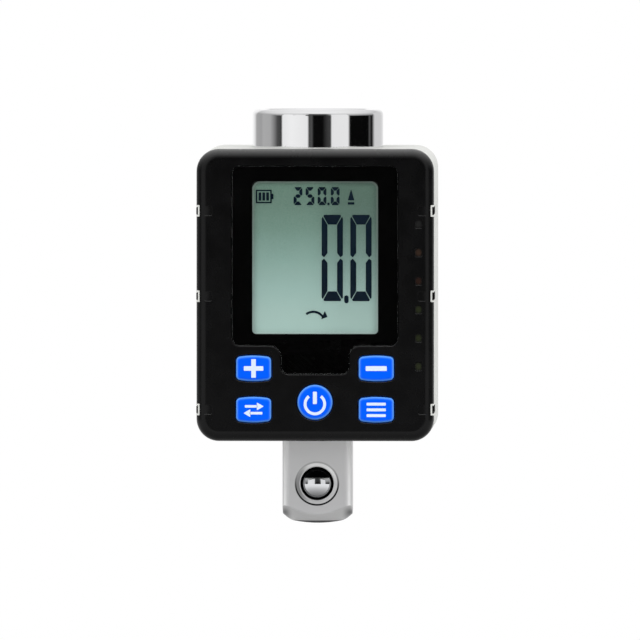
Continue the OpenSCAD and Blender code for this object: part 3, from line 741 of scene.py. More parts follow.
@dataclass(frozen=True)
class DriveSteel(Finish):
    """Polished chrome on the head that turns to satin steel on the drive square, whose colour also
    carries painted light, painted highlights and painted shade.

    A pair gives where a change starts and where it is full, along the shaft, outwards from an axis
    or by the surface's slope.
    """

    # painted light: the satin is painted lighter near the case than satin_low lower down, against the
    # shade under the case
    satin: Colour = tone(216, 216, 217)
    satin_low: Colour = tone(188, 188, 189)
    # painted highlight: a light tone painted on the rounded edges and on the top of the ball's bevel
    painted_edge_highlight: Colour = tone(240, 240, 240)
    satin_roughness: float = 0.30
    satin_metallic: float = 0.18
    satin_heights: Pair = (-14.0, -46.0)
    painted_light_heights: Pair = (-73.0, -60.0)
    chrome_dip: float = 0.97
    # painted light: a lighter tone on the down-facing dome, where light from below is lacking
    painted_dome_light: Colour = tone(198, 198, 198)
    dome_light_slopes: Pair = (0.05, 0.5)
    # painted shade: a dark tone at the square's lower corners and at the middle of its end
    corner: Colour = tone(70, 70, 72)
    shaded_corner_places: Pair = (4.4, 6.2)
    shaded_corner_heights: Pair = (-72.4, -74.0)
    shaded_tip_slopes: Pair = (0.89, 0.975)
    shaded_tip_heights: Pair = (-74.0, -74.4)
    tip_roughness: float = 0.5
    end_softness: float = 0.9
    end_heights: Pair = (-72.3, -73.1)
    bore: Pair = (9.3, 9.9)
    bore_mouth: Pair = (-0.5, -1.5)
    bore_shade: Pair = (-1.5, -9.0)
    bore_end: Pair = (-14.0, -16.0)
    # painted shade deep inside the bore
    depth: Colour = tone(96, 96, 98)
    # painted shade in the ball's hole, in a dark line round it and on one side of its bevel
    hole_shade: Colour = tone(14, 14, 15)
    ball_height: float = -68.5
    ball_side: Pair = (-3.0, -1.0)
    hole_edge: Pair = (3.10, 3.22)
    hole_depths: Pair = (-5.85, -5.7)
    bevel_start: Pair = (3.16, 3.3)
    bevel_end: Pair = (3.72, 3.84)
    bevel_lit: Pair = (-0.4, 2.6)
    bevel_dim: Pair = (-1.0, -3.2)
    bevel_dimness: float = 0.6
    shade_line_start: Pair = (3.70, 3.8)
    shade_line_end: Pair = (4.0, 4.12)
    shade_line_heights: Pair = (3.2, -1.6)
    shade_line_shares: Pair = (0.3, 1.0)

    def sockets(self, graph: Graph) -> dict[str | int, object]:
        """Returns what the shader's sockets take.

        Args:
            graph: The material's graph.

        Returns:
            Values and signals by socket.
        """
        across, along, height = (graph.along(axis) for axis in Axis)
        inside = 1 - across.span(along).spread(*self.bore)
        satin = height.spread(*self.satin_heights).most(inside * height.spread(*self.bore_mouth))
        sheen = graph.noise(4.0)
        down = graph.facing(Axis.Z) * -1
        # painted shade at the middle of the end's underside
        tip = down.spread(*self.shaded_tip_slopes) * height.spread(*self.shaded_tip_heights)

        # painted light: the satin is graded lighter towards the case
        brushed = graph.mix(height.spread(*self.painted_light_heights), self.satin_low, self.satin)
        # painted highlight along the rounded edges
        edge_lit = graph.mix(graph.edges() * sheen.part(0.1), brushed, self.painted_edge_highlight)
        # painted light on the down-facing dome
        rounded = graph.mix(down.spread(*self.dome_light_slopes), edge_lit, self.painted_dome_light)
        # painted shade at the lower corners and the end's middle
        corners = abs(across).spread(*self.shaded_corner_places) * height.spread(*self.shaded_corner_heights)
        outside = graph.mix(corners.most(tip), rounded, self.corner)
        # painted shade deep inside the bore
        deep = inside * height.spread(*self.bore_shade) * (1 - height.spread(*self.bore_end))
        square = graph.mix(deep, outside, self.depth)
        chrome = graph.mix(sheen, scaled(self.colour, self.chrome_dip), self.colour)

        chrome_rough = sheen * self.uneven + self.roughness
        satin_rough = sheen * (2 * self.uneven) + tip * self.tip_roughness + (
            self.satin_roughness - self.uneven)
        rings = graph.noise(self.grain, self.stretch)
        return {"Base Color": self.ball_seat(graph, graph.mix(satin, chrome, square)),
                "Metallic": 1 - satin * (1 - self.satin_metallic),
                "Roughness": chrome_rough * (1 - satin) + satin * satin_rough,
                "Normal": graph.bump(rings * satin.most(0.04), self.relief,
                                     self.soft_end(graph, height))}

    def soft_end(self, graph: Graph, height: Signal) -> Signal:
        """Returns a normal that runs softly over the edge between the faces and the domed end.

        Args:
            graph: The material's graph.
            height: The place along the shaft.

        Returns:
            The normal.
        """
        bevel = graph.node("ShaderNodeBevel", {"samples": 6}, {"Radius": self.end_softness * MM})
        plain = graph.out(graph.node("ShaderNodeNewGeometry"), "Normal")
        return graph.mix(height.spread(*self.end_heights), plain, graph.out(bevel))

    def ball_seat(self, graph: Graph, steel: Signal) -> Signal:
        """Returns the steel's colour with painted shade in the ball's hole, a painted dark line and
        painted shade round the bevel, and a painted highlight on the bevel's top.

        Args:
            graph: The material's graph.
            steel: The colour everywhere else.

        Returns:
            The colour.
        """
        across, up = graph.along(Axis.X), graph.along(Axis.Z) - self.ball_height
        reach, depth = across.span(up), graph.along(Axis.Y)
        near = 1 - depth.spread(*self.ball_side)
        # painted highlight on the bevel's upper part, painted shade on its left, a painted dark line
        # round it and painted shade in the hole
        bevel = reach.spread(*self.bevel_start) * (1 - reach.spread(*self.bevel_end)) * near
        lit = graph.mix(bevel * up.spread(*self.bevel_lit), steel, self.painted_edge_highlight)
        dim = bevel * across.spread(*self.bevel_dim) * self.bevel_dimness
        line = reach.spread(*self.shade_line_start) * (1 - reach.spread(*self.shade_line_end))
        line = line * up.spread(*self.shade_line_heights, *self.shade_line_shares)
        hole = (1 - reach.spread(*self.hole_edge)) * depth.spread(*self.hole_depths)
        return graph.mix(hole.most(line).most(dim) * near, lit, self.hole_shade)


@dataclass(frozen=True)
class SmokedPlastic(Finish):
    """Black plastic with a painted highlight: a grey sheen painted on what faces upwards, where the
    light from above would reflect.
    """

    painted_top_sheen: Colour = tone(100, 100, 100)
    top_sheen_size: float = 0.5

    def base(self, graph: Graph) -> Signal:
        """Returns the plastic's colour.

        Args:
            graph: The material's graph.

        Returns:
            The colour.
        """
        up = graph.facing(Axis.Z).most(0.0)
        # painted highlight: upward faces are lightened unevenly towards the grey sheen
        share = up * up * graph.noise(self.top_sheen_size).part(0.2)
        return graph.mix(share, Finish.base(self, graph), self.painted_top_sheen)


@dataclass(frozen=True)
class SmokedTint(Finish):
    """A light's dim colour behind smoked plastic, lost in the cover's black at its border."""

    middle: Pair = (0.0, 0.0)
    half: Pair = (0.65, 0.75)
    border: Pair = (0.3, 1.25)
    cover: Colour = tone(4, 4, 4.5)

    def base(self, graph: Graph) -> Signal:
        """Returns the window's colour.

        Args:
            graph: The material's graph.

        Returns:
            The colour.
        """
        side = (graph.along(Axis.X) - self.middle[0]) * (1 / self.half[0])
        end = (graph.along(Axis.Z) - self.middle[1]) * (1 / self.half[1])
        return graph.mix(side.span(end).spread(*self.border), Finish.base(self, graph), self.cover)


@dataclass(frozen=True)
class BallSteel(Finish):
    """A polished ball with painted shade where it sits in its hole, its upper side painted dark for
    the dark reflection of the case's underside, and its lower side painted darker for the shaded floor
    below.

    The pairs give the depths of the shaded seat and the slopes of the two painted dark areas.
    """

    shaded_seat: Pair = (-6.35, -6.0)
    painted_darkness: Pair = (0.28, 0.36)
    lower: Pair = (0.15, 0.8)
    lower_shade_share: float = 0.65
    painted_shade: Colour = tone(6, 6, 7)

    def base(self, graph: Graph) -> Signal:
        """Returns the ball's colour.

        Args:
            graph: The material's graph.

        Returns:
            The colour.
        """
        up = graph.facing(Axis.Z)
        # painted shade: the seat in the hole, the upper side (dark reflection) and the lower side are
        # painted dark
        painted_darkness = up.spread(*self.painted_darkness).most((up * -1).spread(*self.lower) * self.lower_shade_share)
        shaded_seat = graph.along(Axis.Y).spread(*self.shaded_seat)
        return graph.mix(shaded_seat.most(painted_darkness), Finish.base(self, graph), self.painted_shade)


@dataclass(frozen=True)
class DisplayFace(Finish):
    """The grey-green face of the liquid crystal display, with painted shade that darkens it towards
    its top and its right, and a painted highlight along its edge.

    Shares of the height run from 0 at the top to 1 at the bottom. The pairs of corners and shades
    belong to the top and the bottom.
    """

    top: float = -12.8
    bottom: float = -40.7
    half_width: float = 11.5
    corners: Pair = (1.5, 0.8)
    corner_shares: Pair = (0.4, 0.6)
    shades: Pair = (0.28, 0.1)
    shade_shares: Pair = (0.35, 0.9)
    shade_places: Pair = (-2.0, 6.0)
    border: Pair = (-0.42, -0.2)
    edge_highlight_share: float = 0.12
    outside: Pair = (-0.04, 0.08)
    speck_size: float = 0.25
    speck: Colour = (0.9, 1.0, 0.95, 1.0)
    # painted shade: the ramp darkens the face towards its top
    stops: tuple[tuple[float, Colour], ...] = (
        (0.0, tone(94, 126, 110)), (0.16, tone(96, 126, 112)), (0.31, tone(107, 139, 126)),
        (0.5, tone(129, 161, 151)), (0.71, tone(151, 182, 174)), (0.87, tone(163, 192, 184)),
        (1.0, tone(167, 197, 189)))

    def base(self, graph: Graph) -> Signal:
        """Returns the colour with its painted shade and its painted edge highlight.

        Args:
            graph: The material's graph.

        Returns:
            The colour.
        """
        across = graph.along(Axis.X)
        share = (graph.along(Axis.Z) - self.top) * (1 / (self.bottom - self.top))
        specks = graph.noise(self.speck_size).spread(0.2, 0.8) * 0.05
        even = graph.mix(specks, graph.ramp(self.stops, share), self.speck)
        margin = self.margin(across, share)
        # painted highlight: a light line along the face's edge
        edge_highlighted = graph.mix(margin.spread(*self.border) * self.edge_highlight_share, even, WHITE)
        # painted shade towards the right, strongest at the top
        shade = across.spread(*self.shade_places) * share.spread(*self.shade_shares, *self.shades)
        return graph.mix(shade.most(margin.spread(*self.outside)), edge_highlighted, BLACK)

    def margin(self, across: Signal, share: Signal) -> Signal:
        """Returns how far a place lies outside the display's rounded outline.

        Args:
            across: The place across.
            share: The share of the height.

        Returns:
            The distance, less than 0 inside.
        """
        height = self.top - self.bottom
        radius = share.spread(*self.corner_shares, *self.corners)
        side = (abs(across) + radius - self.half_width).most(0.0)
        end = (abs(share - 0.5) * height + radius - height / 2).most(0.0)
        return side.span(end) - radius


@dataclass(frozen=True)
class Pane(Finish):
    """Clear acrylic that turns glossy towards grazing views, with faint smears."""

    mirror: float = 0.04
    smear_stretch: Triple = (1.0, 1.0, 0.4)
    smears: Pair = (0.45, 0.8)
    smear_roughness: float = 0.08
    smear_mirror: float = 0.01

    def sockets(self, graph: Graph) -> dict[str | int, object]:
        """Returns what the shader's sockets take.

        Args:
            graph: The material's graph.

        Returns:
            Values and signals by socket.
        """
        slant = graph.out(graph.node("ShaderNodeLayerWeight", None, {"Blend": 0.5}), "Facing")
        rim = slant * slant * slant * slant * slant * (1 - self.mirror)
        smear = graph.noise(self.smear_size, self.smear_stretch).spread(*self.smears)
        return {"Base Color": self.base(graph),
                "Roughness": smear * self.smear_roughness + self.roughness,
                "Alpha": rim + smear * self.smear_mirror + self.mirror}


@dataclass(frozen=True)
class CapBlue(Finish):
    """Coloured plastic with a painted highlight that lightens its rounded rim."""

    rim: float = 0.7
    highlight_slopes: Pair = (0.5, 0.998)
    rim_highlight: Colour = tone(112, 180, 255)

    def base(self, graph: Graph) -> Signal:
        """Returns the cap's colour with its painted rim highlight.

        Args:
            graph: The material's graph.

        Returns:
            The colour.
        """
        slope = 1 - abs(graph.facing(Axis.Y)).spread(*self.highlight_slopes)
        # painted highlight on the rounded rim
        return graph.mix(slope * self.rim, Finish.base(self, graph), self.rim_highlight)


@dataclass(frozen=True)
class CellSleeve(Finish):
    """A printed sleeve with a pale ring near each end, and bare metal ends."""

    metal: Colour = tone(205, 206, 204)
    metal_slopes: Pair = (0.6, 0.8)
    ring: Colour = tone(226, 222, 200)
    ring_share: float = 0.8
    ring_start: Pair = (15.0, 15.1)
    ring_end: Pair = (16.2, 16.3)

    def sockets(self, graph: Graph) -> dict[str | int, object]:
        """Returns what the shader's sockets take.

        Args:
            graph: The material's graph.

        Returns:
            Values and signals by socket.
        """
        end = abs(graph.facing(Axis.Z)).spread(*self.metal_slopes)
        reach = abs(graph.along(Axis.Z) - MIDDLE)
        ring = reach.spread(*self.ring_start) * (1 - reach.spread(*self.ring_end))
        sleeve = graph.mix(ring * self.ring_share, self.base(graph), self.ring)
        return {"Base Color": graph.mix(end, sleeve, self.metal), "Metallic": end,
                "Roughness": self.gloss(graph),
                "Normal": graph.bump(graph.noise(self.grain), self.relief)}


@dataclass(frozen=True)
class BoardMask(Finish):
    """Green solder mask over thin copper tracks."""

    track: Colour = tone(58, 128, 84)
    scale: float = 300.0
    shift: float = 0.37

    def base(self, graph: Graph) -> Signal:
        """Returns the mask's colour, lighter over the tracks.

        Args:
            graph: The material's graph.

        Returns:
            The colour.
        """
        turned = graph.node("ShaderNodeMapping", None, {
            "Vector": graph.place("Object"), "Rotation": (math.pi / 2, 0.0, 0.0)})
        bricks = graph.node("ShaderNodeTexBrick", {"offset": self.shift}, {
            "Vector": graph.out(turned), "Scale": self.scale, "Mortar Size": 0.05,
            "Mortar Smooth": 0.2, "Color1": BLACK, "Color2": BLACK, "Mortar": WHITE})
        return graph.mix(graph.out(bricks, 1), Finish.base(self, graph), self.track)


# the worn tone lightens the rounded edges slightly: partly wear, partly painted highlight
SMOKED = SmokedPlastic("smoked_cover", tone(4, 4, 4.5), roughness=0.26, uneven=0.03, mottle=0.2,
                       relief=0.0009, grain=0.16, wear=0.02, worn=tone(60, 60, 60), specular=0.19)
FIXING = Finish("smoked_fixing", tone(8, 8, 8.5), roughness=0.6, mottle=0.2, wear=0.02,
                worn=tone(60, 60, 60), specular=0.02)
SHELL = Finish("shell_grey", tone(208, 209, 205), roughness=0.46, mottle=0.015, wear=0.10,
               worn=tone(238, 238, 236), relief=0.0016)
CHROME = DriveSteel("drive_steel", tone(238, 238, 239), roughness=0.035, uneven=0.03, metallic=1.0,
                    specular=0.15, grain=0.22, stretch=(0.2, 0.2, 1.0), relief=0.0022)
BALL = BallSteel("ball_steel", tone(222, 223, 225), roughness=0.05, uneven=0.02, mottle=0.02,
                 metallic=1.0, relief=0.0002, wear=0.0)
SPRING = Finish("spring_wire", tone(168, 171, 175), roughness=0.30, metallic=1.0, grain=0.1, wear=0.0)
NICKEL = Finish("contact_nickel", tone(205, 205, 198), roughness=0.28, metallic=1.0,
                stretch=(1.0, 0.1, 1.0), wear=0.2)
BRASS = Finish("insert_brass", tone(200, 164, 82), roughness=0.32, metallic=1.0, wear=0.15)
BRONZE = Finish("washer_bronze", tone(212, 190, 140), roughness=0.35, metallic=1.0, wear=0.1)
RING_STEEL = Finish("ring_steel", tone(84, 86, 90), roughness=0.36, metallic=1.0, wear=0.3,
                    worn=tone(190, 190, 190))
SCREW_STEEL = Finish("screw_steel", tone(172, 175, 178), roughness=0.27, metallic=1.0,
                     stretch=(1.0, 0.2, 1.0), relief=0.0012, wear=0.25)
KEEPER = Finish("keeper_steel", tone(104, 106, 110), roughness=0.38, metallic=1.0, wear=0.2)
RUBBER = Finish("seal_rubber", tone(30, 30, 32), roughness=0.62, relief=0.003, wear=0.05,
                worn=tone(80, 80, 80), specular=0.3)
WINDOW = Pane("clear_window", tone(236, 240, 240), roughness=0.03, mottle=0.0, metallic=1.0,
              smear_size=4.0)
MASK = Finish("window_print", tone(2, 2, 2), roughness=0.55, specular=0.02, mottle=0.2, wear=0.0)
DISPLAY = DisplayFace("display_face", tone(130, 160, 150), roughness=0.35, uneven=0.05,
                      relief=0.0004, specular=0.3)
INK = Finish("display_ink", tone(8, 24, 37), roughness=0.4, mottle=0.12, relief=0.0004, wear=0.0,
             specular=0.1)
FRAME = Finish("frame_white", tone(233, 233, 228), roughness=0.5, wear=0.05)
ZEBRA = Finish("zebra_rubber", tone(226, 140, 158), roughness=0.6, stretch=(6.0, 1.0, 0.3),
               relief=0.004, mottle=0.15)
BOARD = BoardMask("board_green", tone(26, 88, 54), roughness=0.34, coat=0.3)
CHIP = Finish("chip_black", tone(28, 28, 30), roughness=0.55, wear=0.1, worn=tone(90, 90, 92))
PARTS = Finish("chip_ceramic", tone(200, 180, 140), roughness=0.42, mottle=0.2)
GLOW = Finish("led_cream", tone(240, 233, 205), roughness=0.3, mottle=0.1)
SWITCH = Finish("switch_black", tone(42, 43, 46), roughness=0.42, wear=0.2, worn=tone(110, 110, 110))
PLUNGER = Finish("plunger_cream", tone(218, 212, 200), roughness=0.4)
BUZZER = Finish("buzzer_black", tone(22, 22, 24), roughness=0.5, relief=0.003)
# its worn colour is the light rim blue too: wear on the rounded edges, which adds to the painted rim
# highlight
BLUE = CapBlue("button_blue", tone(0, 90, 243), roughness=0.34, uneven=0.05, mottle=0.04, wear=0.1,
               worn=tone(118, 182, 252), relief=0.0009, grain=0.2, specular=0.03)
SIGN = Finish("sign_white", tone(214, 226, 247), roughness=0.45, mottle=0.03, relief=0.001, wear=0.0)
FOIL = Finish("gauge_foil", tone(202, 158, 78), roughness=0.4, stretch=(5.0, 1.0, 0.4),
              relief=0.003, mottle=0.25)
LEAD_RED = Finish("lead_red", tone(172, 46, 38), roughness=0.45, wear=0.0)
SLEEVE = CellSleeve("cell_sleeve", tone(60, 110, 88), roughness=0.3, mottle=0.05)


@dataclass
class CaseShell:
    """Front cover with its fixings, rear housing and battery door.

    A triple is a rounded box: its width, its height and its corner radius.
    """

    width: float = 43.4
    height: float = 53.4
    corner: float = 4.1
    front_edge: float = 1.9
    parting: float = -17.0
    groove: float = 0.09
    wall_back: float = -18.2
    lip_out: float = 1.85
    lip_in: float = 2.75
    lip_end: float = -15.6
    lip_chamfer: float = 0.15
    notch_levels: Triple = (-18.2, -33.8, -54.5)
    notch: Triple = (2.65, 2.2, 0.25)
    notch_out: float = 0.675
    dent: Triple = (2.0, 1.7, 0.3)
    dent_in: float = 1.85
    dent_depth: float = 0.13
    light_slot: Triple = (1.2, 29.0, 0.1)
    light_slot_x: float = 19.35
    hook: Triple = (0.3, 1.3, 0.08)
    hook_in: float = 0.15
    hook_front: float = 0.6
    hook_end: float = -9.0
    hook_root: Triple = (0.8, 1.3, 0.08)
    root_in: float = 0.4
    root_front: float = 1.35
    post_x: float = 17.0
    post_levels: Pair = (-16.0, -50.85)
    post_radii: Pair = (0.82, 1.75)
    post_end: float = -14.2
    door_box: Triple = (39.6, 49.6, 2.2)
    door_front: float = 17.5
    door_edge: float = 0.3
    door_chamfer: float = 0.15
    rear: float = 19.4
    well_radius: float = 2.9
    well_depth: float = 1.3
    hole_radius: float = 1.45
    rib: Triple = (1.0, 37.8, 0.3)
    rib_x: float = 7.2
    rib_front: float = 15.0

    def outline(self) -> Outline:
        """Returns the case's outline."""
        return rounded_box(self.width, self.height, self.corner, (0.0, MIDDLE), steps=12)

    def flanks(self, inset: float) -> list[Pair]:
        """Returns the places beside the six notches at an inset from the case's sides."""
        return [(side * (self.width / 2 - inset), level)
                for side in (-1, 1) for level in self.notch_levels]

    def cover(self, openings: Sequence[Form]) -> bpy.types.Object:
        """Builds the front cover as one skin and carves what opens it.

        Args:
            openings: Cutters of the window, buttons and lights.

        Returns:
            The cover.
        """
        levels = rounding(FRONT, self.front_edge, 1, steps=10)
        levels += [(self.parting - self.groove, 0.0), (self.parting, -self.groove),
                   (self.parting, -self.lip_out), (self.lip_end - self.lip_chamfer, -self.lip_out),
                   (self.lip_end, -self.lip_out - self.lip_chamfer), (self.lip_end, -self.lip_in),
                   (self.wall_back, -self.lip_in)]
        form = Form().stack(self.outline(), levels)
        for cutter in [*openings, self.notches(), self.dents(), self.light_room()]:
            form.carve(cutter)
        return form.piece("front_cover_shell", "tool", "cover_black", SMOKED, ["front_cover"])

    def notches(self) -> Form:
        """Makes the cutters of the six side notches.

        Returns:
            The cutters as one form.
        """
        form = Form()
        for place in self.flanks(-self.notch_out):
            form.stack(rounded_box(*self.notch, place, steps=3),
                       flare(FRONT + 0.2, 0.12, self.parting + 0.4))
        return form

    def dents(self) -> Form:
        """Makes the cutters of the shallow dents beside the notches.

        Returns:
            The cutters as one form.
        """
        form = Form()
        for place in self.flanks(self.dent_in):
            form.stack(rounded_box(*self.dent, place, steps=3),
                       flare(FRONT, 0.1, FRONT + self.dent_depth))
        return form

    def light_room(self) -> Form:
        """Returns the cutter that leaves room for the light windows in the lip."""
        outline = rounded_box(*self.light_slot, (self.light_slot_x, MIDDLE), steps=2)
        return Form().stack(outline, [(self.wall_back, 0.0), (self.lip_end + OUTSIDE, 0.0)])

    def fixings(self) -> bpy.types.Object:
        """Builds the cover's snap hooks and screw posts.

        Returns:
            The fixings as one piece.
        """
        form = Form()
        hook_levels = rounding(FRONT + self.hook_front, 0.08, 1, steps=3)
        hook_levels += [(self.hook_end - 0.1, 0.0), (self.hook_end, -0.08)]
        root_levels = [(FRONT + self.root_front, 0.0), (self.parting - 0.02, 0.0)]
        for tip, root in zip(self.flanks(self.hook_in), self.flanks(self.root_in)):
            form.stack(rounded_box(*self.hook, tip, steps=3), hook_levels)
            form.stack(rounded_box(*self.hook_root, root, steps=3), root_levels)
        start, (inner, outer) = self.wall_back - 0.3, self.post_radii
        post_levels = [(start, outer), (self.post_end - 0.1, outer), (self.post_end, outer - 0.1),
                       (self.post_end, inner + 0.13), (self.post_end - 0.1, inner), (start, inner)]
        for side in (-1, 1):
            for level in self.post_levels:
                form.stack(disc((side * self.post_x, level), 40), post_levels, looped=True)
        return form.piece("front_cover_fixings", "tool", "cover_black", FIXING, ["front_cover"])

    def door(self) -> bpy.types.Object:
        """Builds the battery door with its softened rim, screw recess and ribs.

        Returns:
            The door.
        """
        levels = [(self.door_front, -self.door_chamfer),
                  (self.door_front + self.door_chamfer, 0.0)]
        levels += rounding(self.rear, self.door_edge, -1, steps=5)[::-1]
        form = Form().stack(rounded_box(*self.door_box, (0.0, MIDDLE), steps=10), levels)
        form.carve(Form().stack(disc((0.0, MIDDLE), 64), flare(
            self.rear, 0.2, self.rear - self.well_depth, rim=self.well_radius)))
        form.carve(Form().stack(disc((0.0, MIDDLE), 48), [
            (self.rear - 0.7, self.hole_radius), (self.door_front - 0.5, self.hole_radius)]))
        for side in (-1, 1):
            rib = rounded_box(*self.rib, (side * self.rib_x, MIDDLE), steps=3)
            form.stack(rib, rounding(self.rib_front, 0.15, 1, steps=3)
                       + [(self.door_front + 0.1, 0.0)])
        return form.piece("battery_door_panel", "door", "shell_grey", SHELL, ["battery_door"])


@dataclass
class Display:
    """Clear window, its black print, the display behind it and what it shows.

    Figures and symbols stand at their upper left corner or their middle, and their bars are the
    width of upright segments and the thickness of level ones.
    """

    pane_front: float = -19.95
    pane_back: float = -18.95
    pane_edge: float = 0.18
    recess: float = -18.8
    face: float = -18.2
    ink_depth: float = 0.05
    half_width: float = 15.2
    top: float = -9.95
    low: float = -42.85
    tab_half: float = 6.3
    tab_low: float = -48.05
    corner: float = 1.5
    tab_corner: float = 2.0
    view: Triple = (24.4, 29.3, 0.7)
    view_middle: Pair = (0.0, -26.75)
    segments: dict[str, str] = field(
        default_factory=lambda: {"0": "abcdef", "2": "abged", "5": "afgcd"})
    large: tuple[Pair, Pair] = ((3.88, 15.78), (1.06, 1.78))
    large_row: tuple[tuple[str, Pair], ...] = (("0", (1.18, -18.93)), ("0", (6.42, -18.93)))
    small: tuple[Pair, Pair] = ((1.6, 3.3), (0.56, 0.66))
    small_row: tuple[tuple[str, Pair], ...] = (
        ("2", (-3.95, -13.87)), ("5", (-1.75, -13.87)), ("0", (0.45, -13.87)), ("0", (2.85, -13.87)))
    gauge: Pair = (-9.4, -15.6)
    peak: Pair = (6.55, -16.3)
    arrow: Pair = (-0.35, -38.75)

    def outline(self) -> Outline:
        """Makes the window's outline with its tab.

        Returns:
            The outline.
        """
        wide, tab, low = self.half_width, self.tab_half, self.low
        corners = [(-tab, self.tab_low, self.corner), (tab, self.tab_low, self.corner),
                   (tab, low, self.tab_corner), (wide, low, self.corner),
                   (wide, self.top, self.corner), (-wide, self.top, self.corner),
                   (-wide, low, self.corner), (-tab, low, self.tab_corner)]
        return lambda rim: rounded_path(corners, rim, 8)

    def openings(self) -> list[Form]:
        """Makes the cutters of the window's recess and the view through it.

        Returns:
            The two cutters.
        """
        recess = Form().stack(self.outline(), flare(FRONT, 0.05, self.recess, rim=0.1))
        view = rounded_box(*self.view, self.view_middle)
        through = Form().stack(view, [(self.recess - 0.5, 0.0), (self.face + 0.5, 0.0)])
        return [recess, through]

    def pane(self) -> bpy.types.Object:
        """Builds the clear window.

        Returns:
            The window.
        """
        levels = rounding(self.pane_front, self.pane_edge, 1, steps=4) + [(self.pane_back, 0.0)]
        return Form().stack(self.outline(), levels).piece(
            "display_pane", "tool", "window_clear", WINDOW, ["display_window"])

    def segment(self, name: str, size: Pair, bars: Pair) -> list[Pair]:
        """Gives the corners of one segment of a figure, which its mitred ends part from the next.

        Args:
            name: The segment's letter, from a at the top round to g in the middle.
            size: Width and height of the figure.
            bars: Width of the upright segments and thickness of the level ones.

        Returns:
            The corners, counter-clockwise, from the figure's lower left.
        """
        width, height = size
        wide, thick = bars
        middle = height / 2
        if name == "g":
            half = thick / 2
            return [(0.5 * wide, middle), (wide, middle - half), (width - wide, middle - half),
                    (width - 0.5 * wide, middle), (width - wide, middle + half), (wide, middle + half)]
        if name in "ad":
            shape = [(1.08 * wide, height - thick), (width - 1.08 * wide, height - thick),
                     (width - 0.28 * wide, height - 0.2 * wide), (width - 0.45 * wide, height),
                     (0.45 * wide, height), (0.28 * wide, height - 0.2 * wide)]
        else:
            shape = [(0.0, middle + 0.47 * wide), (0.42 * wide, middle + 0.09 * wide),
                     (wide, middle + 0.85 * wide), (wide, height - thick - 0.08 * wide),
                     (0.16 * wide, height - 0.32 * wide), (0.0, height - 0.62 * wide)]
        across, over = name in "bc", name in "dec"
        turned = [(width - u if across else u, height - v if over else v) for u, v in shape]
        return turned[::-1] if across != over else turned

    def digit(self, form: Form, figure: str, corner: Pair, size: Pair, bars: Pair) -> None:
        """Adds one seven-segment figure.

        Args:
            form: Form that takes the segments.
            figure: The figure.
            corner: Its upper left corner.
            size: Its width and height.
            bars: Width of its upright segments and thickness of its level ones.
        """
        left, low = corner[0], corner[1] - size[1]
        for name in self.segments[figure]:
            corners = [(left + u, low + v) for u, v in self.segment(name, size, bars)]
            form.stack(polygon(corners, 0.05 * bars[0], 1), self.ink_levels())

    def ink_levels(self) -> list[Pair]:
        """Returns the depths of the dark figures."""
        return [(self.face - self.ink_depth, 0.0), (self.face + 0.01, 0.0)]

    def figures(self) -> bpy.types.Object:
        """Builds the large reading, the small row above it and the plain symbols.

        Returns:
            All of them as one piece.
        """
        form = Form()
        for row, sizes in ((self.large_row, self.large), (self.small_row, self.small)):
            for figure, corner in row:
                self.digit(form, figure, corner, *sizes)
        points = [rounded_box(0.8, 1.45, 0.39, (5.7, -34.38), steps=8),
                  rounded_box(0.42, 0.5, 0.15, (2.42, -16.95), steps=3)]
        for shape in [*points, *self.symbols()]:
            form.stack(shape, self.ink_levels())
        return form.piece("display_figures", "tool", "lcd_face", INK)

    def symbols(self) -> list[Outline]:
        """Makes the outlines of a charge gauge, a peak mark and a turning arrow.

        Returns:
            The outlines.
        """
        (x, z), (peak_x, peak_z), (turn_x, turn_z) = self.gauge, self.peak, self.arrow
        bars = [(2.9, 0.27, x, z - 1.1), (2.9, 0.27, x, z + 1.1), (0.27, 2.2, x - 1.32, z),
                (0.27, 2.2, x + 1.32, z), (0.34, 1.0, x + 1.6, z), (0.5, 1.5, x - 0.7, z),
                (0.5, 1.5, x, z), (0.5, 1.5, x + 0.7, z), (1.2, 0.42, peak_x, peak_z - 0.55)]
        tip = [(turn_x + 1.4, turn_z + 0.7), (turn_x + 2.6, turn_z + 1.15),
               (turn_x + 2.1, turn_z + 2.25)]
        return [*(rounded_box(wide, high, 0.05, (u, v), 2) for wide, high, u, v in bars),
                polygon([(peak_x - 0.6, peak_z), (peak_x + 0.6, peak_z), (peak_x, peak_z + 2.1)]),
                arc_band(self.arrow, 2.3, 0.42, 35.0, 128.0), polygon(tip)]


class Key(Enum):
    """The five buttons, by the name of the body that each rides on."""

    INCREASE = "increase"
    DECREASE = "decrease"
    UNIT = "unit"
    MODE = "mode"
    POWER = "power"


